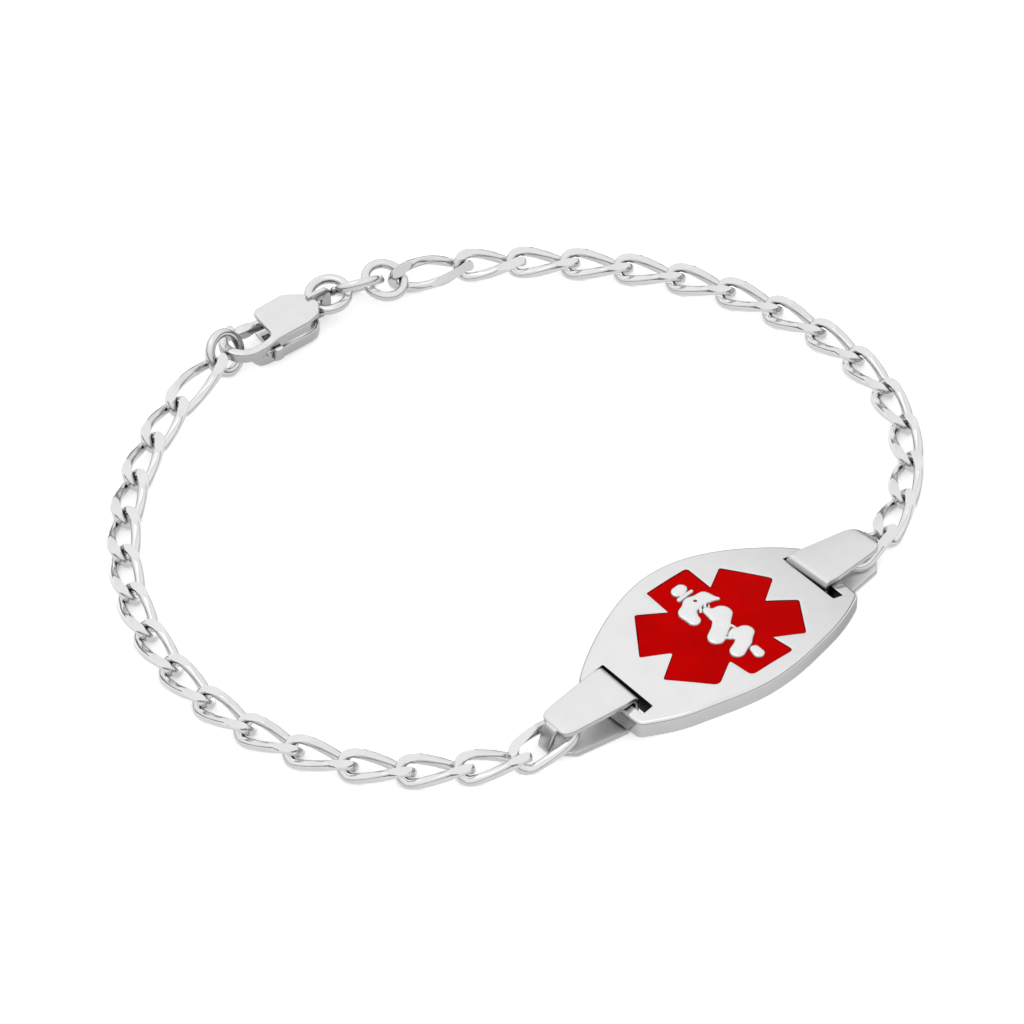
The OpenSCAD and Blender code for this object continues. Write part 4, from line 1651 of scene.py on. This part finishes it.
    def build(self) -> Iterator[str]:
        """Builds and dresses the clasp's body and lever.

        Yields:
            The pieces' names.
        """
        place = self.chain.group() @ shift(*self.chain.clasp_at, self.lift)
        body, lever = self.build_body(), self.build_lever()
        yield body.piece("clasp_shell", CLASP_SILVER, "clasp_silver", place, ["clasp_body"])
        yield lever.piece("clasp_gate", CLASP_SILVER, "clasp_silver", place, ["clasp_lever"], Body.LEVER)


@dataclass
class Studio:
    """Camera, pale floor and soft light, as in the photograph."""

    target: tuple[float, float, float] = (-0.766, -1.108, 0.8)
    azimuth: float = -39.87
    elevation: float = 42.72
    distance: float = 482.8
    lens: float = 212.4
    floor_size: float = 3000.0
    floor_drop: float = 0.06
    lamp_at: tuple[float, float, float] = (-150.0, 120.0, 600.0)
    lamp_size: float = 320.0
    lamp_power: float = 0.12
    # The sky's grey from level to overhead, and the shade that one side of it has.
    sky: tuple[Point2, ...] = (
        (0.0, 0.2), (0.16, 0.24), (0.27, 0.88), (0.5, 0.93), (0.84, 0.96), (1.0, 0.84),
    )
    shade: tuple[Point2, ...] = ((0.35, 1.0), (0.85, 0.9))

    @staticmethod
    def aim(thing: bpy.types.Object, place: Vector, way: Vector) -> None:
        """Puts a camera or lamp in its place, in millimetres, and turns it to look along a way."""
        thing.location = place * MM
        thing.rotation_euler = way.to_track_quat("-Z", "Y").to_euler()

    def add_camera(self) -> str:
        """Adds the camera at the photograph's angle.

        Returns:
            Its name.
        """
        out, up = ray(self.azimuth - 90.0, cos(self.elevation)), sin(self.elevation)
        back = Vector((*out, up))
        data = bpy.data.cameras.new("studio_camera")
        data.lens = self.lens
        data.sensor_width = 36.0
        data.clip_start = 0.01
        data.clip_end = 20.0
        camera = put(data.name, data)
        self.aim(camera, Vector(self.target) + back * self.distance, -back)
        bpy.context.scene.camera = camera
        return data.name

    def add_floor(self) -> str:
        """Adds the white table.

        Returns:
            Its name.
        """
        mesh = bpy.data.meshes.new("table_top")
        size, z = self.floor_size * MM, -self.floor_drop * MM
        corners = [(x, y, z) for x, y in box(size, size)]
        mesh.from_pydata(corners, [], [(0, 1, 2, 3)])
        mesh.materials.append(WHITE_TABLE.material())
        put(mesh.name, mesh)
        return mesh.name

    def add_sky(self) -> str:
        """Lights the set from all sides, darker near the floor for contrast.

        Returns:
            The sky's name.
        """
        world = bpy.data.worlds.new("studio_light")
        bpy.context.scene.world = world
        world.use_nodes = True
        kit = Nodes(world.node_tree)
        parts = kit.add("ShaderNodeSeparateXYZ", Vector=kit.place("Generated")).outputs
        height, fade = kit.ramp(parts["Z"], *self.sky), kit.ramp(parts["X"], *self.shade)
        tone = kit.mix(1.0, height, fade, Blend.MULTIPLY)
        kit.show(kit.add("ShaderNodeBackground", Color=tone, Strength=1.0), "ShaderNodeOutputWorld")
        return world.name

    def add_lamp(self) -> str:
        """Adds one soft square lamp that looks at the bracelet.

        Returns:
            Its name.
        """
        data = bpy.data.lights.new("top_lamp", "AREA")
        data.size = self.lamp_size * MM
        data.energy = self.lamp_power
        self.aim(put(data.name, data), Vector(self.lamp_at), -Vector(self.lamp_at))
        return data.name

    def build(self) -> Iterator[str]:
        """Sets up camera, table and light.

        Yields:
            Their names.
        """
        yield from (self.add_camera(), self.add_floor(), self.add_sky(), self.add_lamp())
        bpy.context.scene.view_settings.view_transform = "Standard"
        bpy.context.scene.view_settings.look = "None"


def main() -> None:
    """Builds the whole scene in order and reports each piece."""
    logging.basicConfig(level=logging.INFO, format="%(name)s: %(message)s")
    plate = Plate()
    left_bail = Bail(Side.LEFT, plate, reach=7.08, lean=0.65, end_height=2.4)
    right_bail = Bail(Side.RIGHT, plate, reach=7.2, lean=0.6, end_height=2.2, inner_end=-0.18)
    chain = Chain(plate)
    for part in (Studio(), plate, left_bail, right_bail, chain, Clasp(chain)):
        for name in part.build():
            LOG.info("%s: %s", type(part).__name__.lower(), name)


if __name__ == "__main__":
    main()
